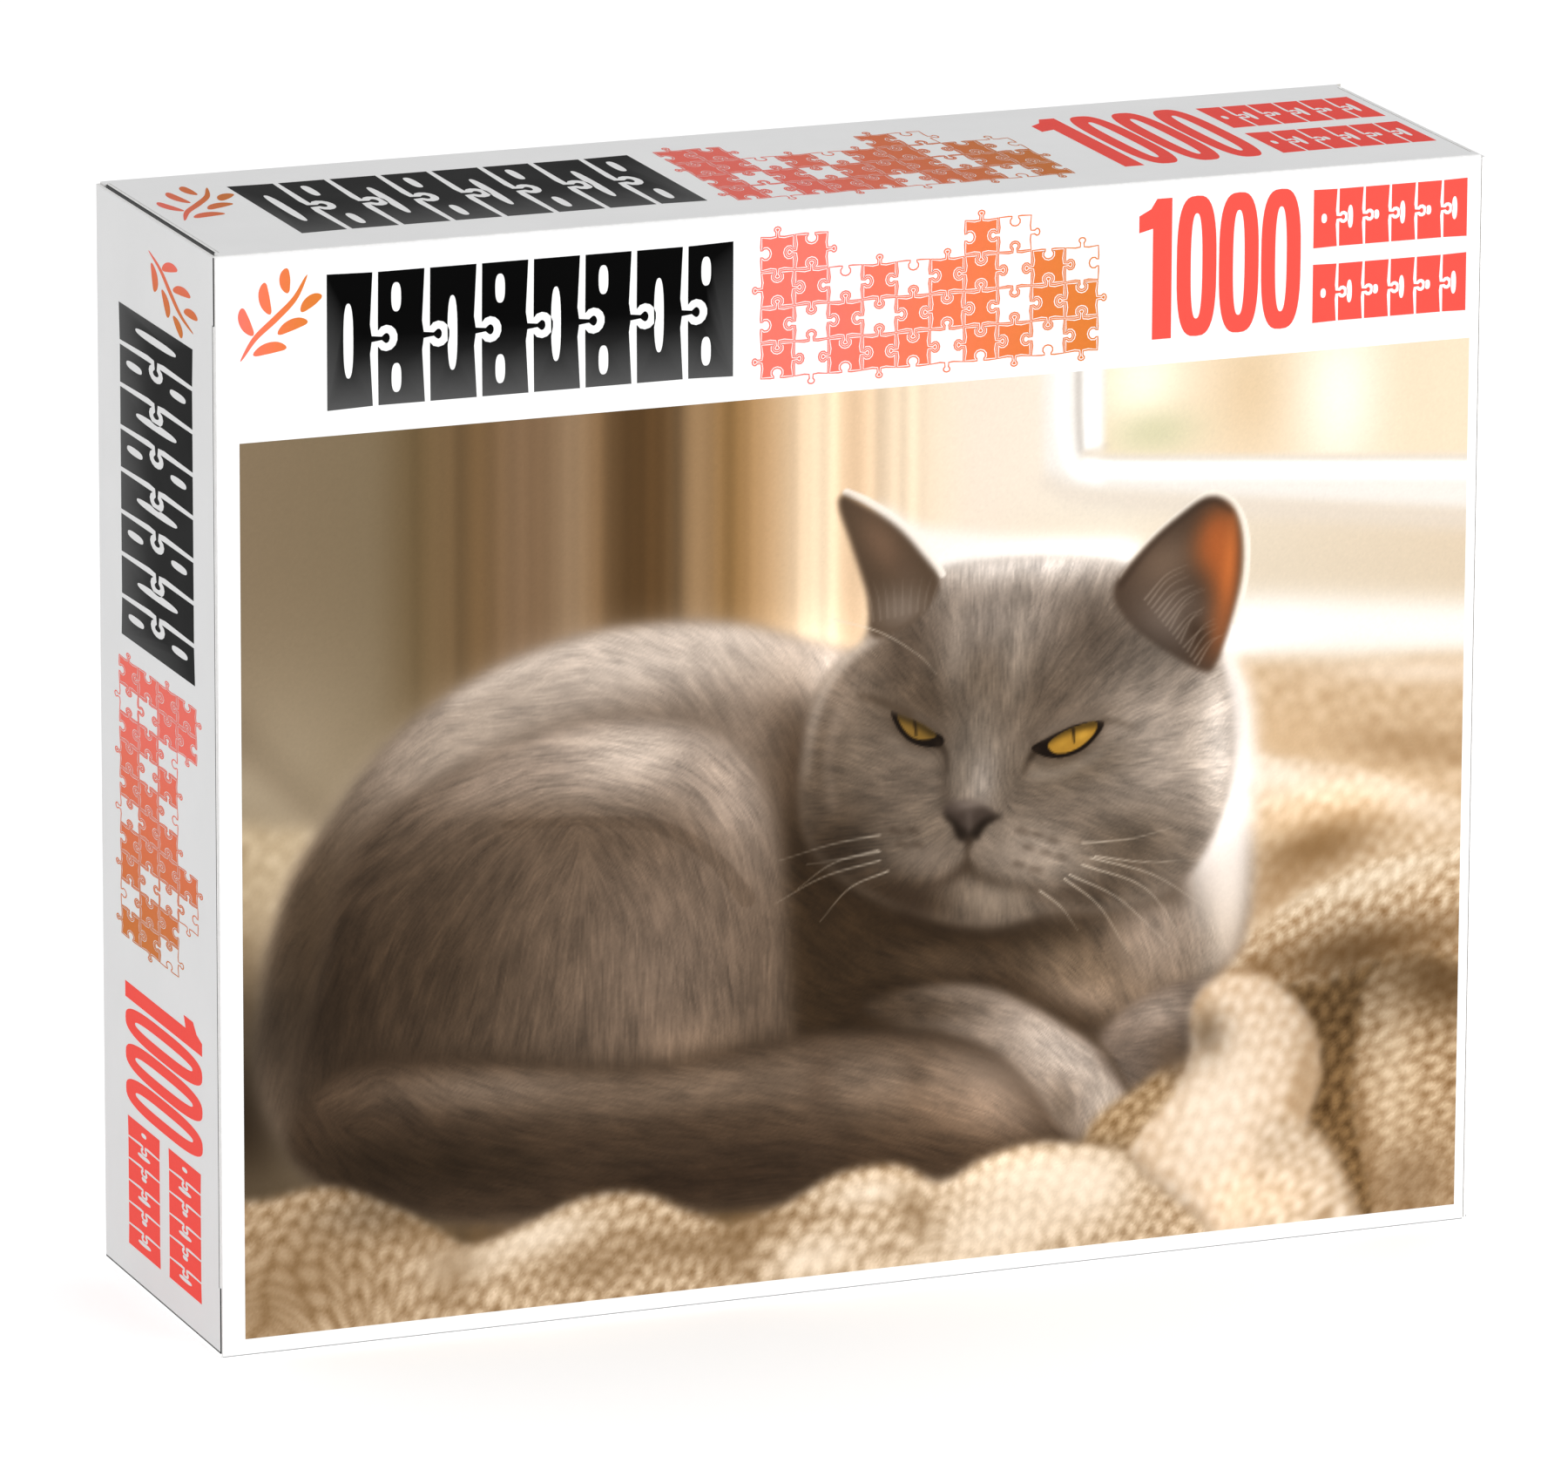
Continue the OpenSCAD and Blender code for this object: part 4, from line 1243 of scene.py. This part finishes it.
# ---------------------------------------------------------------- the bag and its pieces
film_low, film_high = (np.array(c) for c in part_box("bag_film"))
crown_high = np.array(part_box("bag_top_seal")[1])
fill_low = np.array(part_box("jigsaw_fill")[0])
film = film_material("clear film", 0.22)
crimp_film = film_material("crimped film", 0.45)
waves = np.random.default_rng(11)


def ripple(places, count, shortest, longest):
    """A smooth random field at some places: a sum of plane waves, about -1 to 1."""
    total = np.zeros(len(places))
    for _ in range(count):
        way = waves.standard_normal(3)
        way /= np.linalg.norm(way)
        total += np.sin(places @ way * 2 * math.pi / waves.uniform(shortest, longest) + waves.uniform(0,
                                                                                                      6.3))
    return total / math.sqrt(count / 2)


def make_bag():
    """The slack clear bag: a full lower part with round corners, drawn in to a flat crown."""
    start_fresh()
    bpy.ops.mesh.primitive_uv_sphere_add(segments=220, ring_count=150, radius=1)
    piece = bpy.context.object
    co = corners(piece)
    # 0 at the lower pole to 1 at the upper pole, and the angle round
    t = 1 - np.arccos(np.clip(co[:, 2], -1, 1)) / math.pi
    round_at = np.arctan2(co[:, 1], co[:, 0])
    cap = 0.1
    rise = np.clip((t - cap) / (1 - 2 * cap), 0, 1)
    z = film_low[2] + rise * (film_high[2] - film_low[2])
    half_w = film_high[0]
    half_d = film_high[1]
    low_round = np.sqrt(np.clip(1 - (1 - np.clip(rise / 0.12, 0, 1)) ** 2, 0, 1))
    full = 0.76
    neck = np.clip((rise - full) / (1 - full), 0, 1)
    depth = half_d * (0.55 + 0.45 * low_round) * (1 - neck ** 1.4) + 1.0 * mm
    width = half_w * (0.88 + 0.12 * low_round) * (1 - neck) + crown_high[0] * neck
    inwards = np.minimum(np.clip(t / cap, 0, 1), np.clip((1 - t) / cap, 0, 1))
    c, s = np.cos(round_at), np.sin(round_at)
    power = 0.42
    x = np.sign(c) * np.abs(c) ** power * (width - 1.5 * mm) * inwards
    y = np.sign(s) * np.abs(s) ** (power + 0.1) * np.maximum(depth - 1.5 * mm, 0.6 * mm) * inwards
    places = np.stack([x, y, z], axis=1)
    crease = 1 - np.abs(ripple(places, 7, 22 * mm, 60 * mm))
    small = 1 - np.abs(ripple(places, 9, 8 * mm, 20 * mm))
    pleat = np.sin(x / (5.2 * mm) + 3 * np.sin(x / (31 * mm))) * neck * (1 - neck) * 4
    push = (np.clip(crease, -1, 1) * 0.9 + np.clip(small, -1, 1) * 0.45 + pleat * 0.7) * mm * inwards
    room = np.minimum(1, (0.2 + np.abs(y) / half_d))
    places[:, 0] += np.sign(x) * push * 0.6 * (np.abs(c) > 0.3)
    places[:, 1] += np.sign(y) * push * room
    places[:, 0] = np.clip(places[:, 0], film_low[0], film_high[0])
    places[:, 1] = np.clip(places[:, 1], film_low[1], film_high[1])
    move_corners(piece, places)
    bpy.ops.object.shade_smooth()
    return settle(piece, "crinkled_bag", film)


def make_seal(name, node, run_axis, across):
    """A crimped heat seal with a serrated edge. Its ridges follow each other along run_axis."""
    low, high = (np.array(c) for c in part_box(node))
    columns, rows = 176, 24
    start_fresh()
    bpy.ops.mesh.primitive_grid_add(x_subdivisions=columns, y_subdivisions=rows, size=1)
    piece = bpy.context.object
    bpy.ops.object.modifier_add(type="SOLIDIFY")
    piece.modifiers[0].thickness = 1
    piece.modifiers[0].offset = 0
    bpy.ops.object.modifier_apply(modifier=piece.modifiers[0].name)
    co = corners(piece)
    run = co[:, 1] + 0.5
    place = np.empty_like(co)
    place[:, 0] = low[0] + (co[:, 0] + 0.5) * (high - low)[0]
    place[:, run_axis] = low[run_axis] + run * (high - low)[run_axis]
    place[:, across] = low[across] + (co[:, 2] + 0.5) * (high - low)[across]
    place[:, across] += 0.28 * mm * np.sin(run * 16 * math.pi)
    place[:, across] += 0.6 * mm * np.sin(place[:, 0] / (17 * mm)) * run * (across == 1)
    tooth = np.rint((co[:, 0] + 0.5) * columns) % 2
    place[:, run_axis] -= 0.7 * mm * tooth * (run > 0.99)
    move_corners(piece, place)
    bpy.ops.object.mode_set(mode="EDIT")
    bpy.ops.mesh.select_all(action="SELECT")
    bpy.ops.mesh.normals_make_consistent(inside=False)
    bpy.ops.object.mode_set(mode="OBJECT")
    return settle(piece, name, crimp_film)


piece_side = 17.0 * mm
piece_thick = 1.9 * mm


def model_piece(name, knobs, materials):
    """One kind of jigsaw piece about the origin: picture above, grey board at the sides and below."""
    start_fresh()
    outline = jigsaw_outline(piece_side, piece_side * 0.97, knobs, 4)
    bpy.ops.mesh.primitive_circle_add(vertices=len(outline), radius=1, fill_type="NGON")
    piece = bpy.context.object
    move_corners(piece, [(x, y, piece_thick / 2) for x, y in outline])
    bpy.ops.object.mode_set(mode="EDIT")
    bpy.ops.mesh.select_all(action="SELECT")
    bpy.ops.mesh.extrude_region_move(TRANSFORM_OT_translate={"value": (0, 0, -piece_thick)})
    bpy.ops.mesh.select_all(action="SELECT")
    bpy.ops.mesh.normals_make_consistent(inside=False)
    bpy.ops.object.mode_set(mode="OBJECT")
    settle(piece, name, *materials)
    for polygon in piece.data.polygons:
        polygon.material_index = 0 if polygon.normal.z > 0.5 else 1
    tint(piece, np.zeros((len(piece.data.vertices), 3)))
    return piece


def make_pieces(count=1000):
    """A thousand pieces dropped one by one into the bag. Each settles on the slope that lies under it."""
    drop = np.random.default_rng(1000)
    materials = (picture_ink, grey_board_material())
    kinds = [model_piece(f"piece_kind_{number}", knobs, materials) for number, knobs in
             enumerate(((1, -1, 1, -1), (1, 1, -1, -1), (-1, 1, 1, 1), (-1, -1, 1, -1)))]
    outlines = [corners(kind) for kind in kinds]
    grid = 2 * mm
    reach_x, reach_y = 96 * mm, 24.5 * mm
    level = np.full((int(2 * reach_x / grid) + 1, int(2 * reach_y / grid) + 1), fill_low[2] + 3 * mm)
    foot = np.array([(i, j) for i in range(-4, 5) for j in range(-4, 5) if i * i + j * j <= 18])
    plane = np.column_stack([foot * grid, np.ones(len(foot))])
    fit = np.linalg.pinv(plane)
    copies = []
    for number in range(count):
        spots = np.column_stack([drop.integers(4, level.shape[0] - 4, 7), drop.integers(4, level.shape[1] - 4,
                                                                                        7)])
        under = np.array([level[tuple((spot + foot).T)].mean() for spot in spots])
        spot = spots[under.argmin()]
        cells = tuple((spot + foot).T)
        slope_x, slope_y, rest = fit @ level[cells]
        slope = np.clip(np.array([slope_x, slope_y]) * 0.9 + drop.normal(0, 0.12, 2), -0.75, 0.75)
        rest += np.quantile(level[cells] - plane @ [*slope, rest], 0.72)
        level[cells] = np.maximum(level[cells], plane @ [*slope, rest + piece_thick * 1.2])
        up = np.array([-slope[0], -slope[1], 1])
        up /= np.linalg.norm(up)
        yaw = drop.uniform(0, 2 * math.pi)
        along = np.cross([-math.sin(yaw), math.cos(yaw), 0], up)
        along /= np.linalg.norm(along)
        # Two pieces in five lie face down
        if drop.random() < 0.4:
            up = -up
        across = np.cross(up, along)
        centre = np.array([*(spot * grid - [reach_x, reach_y]), rest + piece_thick * 0.6])
        local = outlines[number % len(kinds)]
        ring = centre + np.outer(local[:, 0], along) + np.outer(local[:, 1], across)
        # Pull a piece that would reach through the film back into the bag
        for axis, limit in ((0, reach_x), (1, reach_y)):
            centre[axis] -= max(0, ring[:, axis].max() - limit) + min(0, ring[:, axis].min() + limit)
        data = kinds[number % len(kinds)].data.copy()
        piece = bpy.data.objects.new(f"piece_{number}", data)
        bpy.context.scene.collection.objects.link(piece)
        axes = Matrix([tuple(axis) for axis in (along, across, up)]).transposed().to_4x4()
        piece.matrix_world = Matrix.Translation(centre) @ axes
        # The printed side carries its own part of the picture
        column, row = number % 40, number // 40
        span = (picture.shape[1] - 1) / 40
        place = local[:, :2] / piece_side + 0.5
        pick_c = np.clip(((column + place[:, 0]) * span).astype(int), 0, picture.shape[1] - 1)
        pick_r = np.clip(((row + place[:, 1]) * span).astype(int), 0, picture.shape[0] - 1)
        rgba = np.ones((len(local), 4))
        rgba[:, :3] = linear(picture[pick_r, pick_c] * 255)
        data.color_attributes["ink"].data.foreach_set("color", rgba.ravel())
        copies.append(piece)
    start_fresh()
    for kind in kinds:
        bpy.data.objects.remove(kind)
    for piece in copies:
        piece.select_set(True)
    bpy.context.view_layer.objects.active = copies[0]
    bpy.ops.object.join()
    piece = bpy.context.object
    only(piece)
    bpy.ops.object.transform_apply(location=True, rotation=True, scale=True)
    piece.name = "loose_pieces"
    piece.data.name = "loose_pieces"
    return piece


bag = make_bag()
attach(bag, "bag")
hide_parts("bag_film")
for name, node, run_axis, across in (("crimped_top_seal", "bag_top_seal", 2, 1),
                                     ("crimped_bottom_seal", "bag_bottom_seal", 1, 2)):
    seal = make_seal(name, node, run_axis, across)
    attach(seal, "bag")
    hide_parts(node)
for slot in nodes["bag_back_seam"].material_slots:
    slot.material = crimp_film
loose = make_pieces()
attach(loose, "bag")
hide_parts("jigsaw_fill", "jigsaw_top_pieces")


# ---------------------------------------------------------------- floor, light and camera
def pale_floor():
    """A wide plane that glows a little, so that it meets the white room without a line."""
    start_fresh()
    bpy.ops.mesh.primitive_plane_add(size=40)
    material, shader, _, _ = new_material("pale floor")
    shader.inputs["Base Color"].default_value = (0.93, 0.93, 0.93, 1)
    shader.inputs["Roughness"].default_value = 0.9
    shader.inputs["Specular IOR Level"].default_value = 0.0
    shader.inputs["Emission Color"].default_value = (1, 1, 1, 1)
    shader.inputs["Emission Strength"].default_value = 0.42
    floor = settle(bpy.context.object, "floor", material)


def soft_light(name, size, power, place, aim):
    """A square light that shines from a place towards a point."""
    light = bpy.data.lights.new(name, "AREA")
    light.shape = "SQUARE"
    light.size = size
    light.energy = power
    lamp = bpy.data.objects.new(name, light)
    lamp.location = place
    lamp.rotation_euler = (Vector(aim) - Vector(place)).to_track_quat("-Z", "Y").to_euler()
    bpy.context.scene.collection.objects.link(lamp)


def sky(strength):
    """Even white light from all round."""
    world = bpy.data.worlds.new("soft white room")
    world.use_nodes = True
    world.node_tree.nodes["Background"].inputs["Color"].default_value = (1, 1, 1, 1)
    world.node_tree.nodes["Background"].inputs["Strength"].default_value = strength
    bpy.context.scene.world = world


def add_camera():
    """A long lens, a little above the carton and to its left."""
    turn, rise, roll = (math.radians(a) for a in (21.48, 14.76, 0.24))
    distance = 2.4668
    look = Vector((math.sin(turn) * math.cos(rise), math.cos(turn) * math.cos(rise), -math.sin(rise)))
    across = Vector((math.cos(turn), -math.sin(turn), 0))
    above = across.cross(look)
    target = Vector((0, 0, box_h / 2)) - across * 1.5 * mm - above * 4.3 * mm
    level = across * math.cos(roll) + above * math.sin(roll)
    upright = above * math.cos(roll) - across * math.sin(roll)
    camera_data = bpy.data.cameras.new("camera")
    camera_data.sensor_width = 36
    camera_data.lens = 302.66
    camera_data.clip_end = 60
    camera = bpy.data.objects.new("camera", camera_data)
    frame_axes = Matrix((level, upright, -look)).transposed().to_4x4()
    camera.matrix_world = Matrix.Translation(target - look * distance) @ frame_axes
    bpy.context.scene.collection.objects.link(camera)
    bpy.context.scene.camera = camera


pale_floor()
sky(0.7)
soft_light("key light", size=1.2, power=52, place=(1.0, -2.6, 0.2), aim=(0, 0, box_h / 2))
bpy.context.scene.view_settings.view_transform = "Standard"
add_camera()
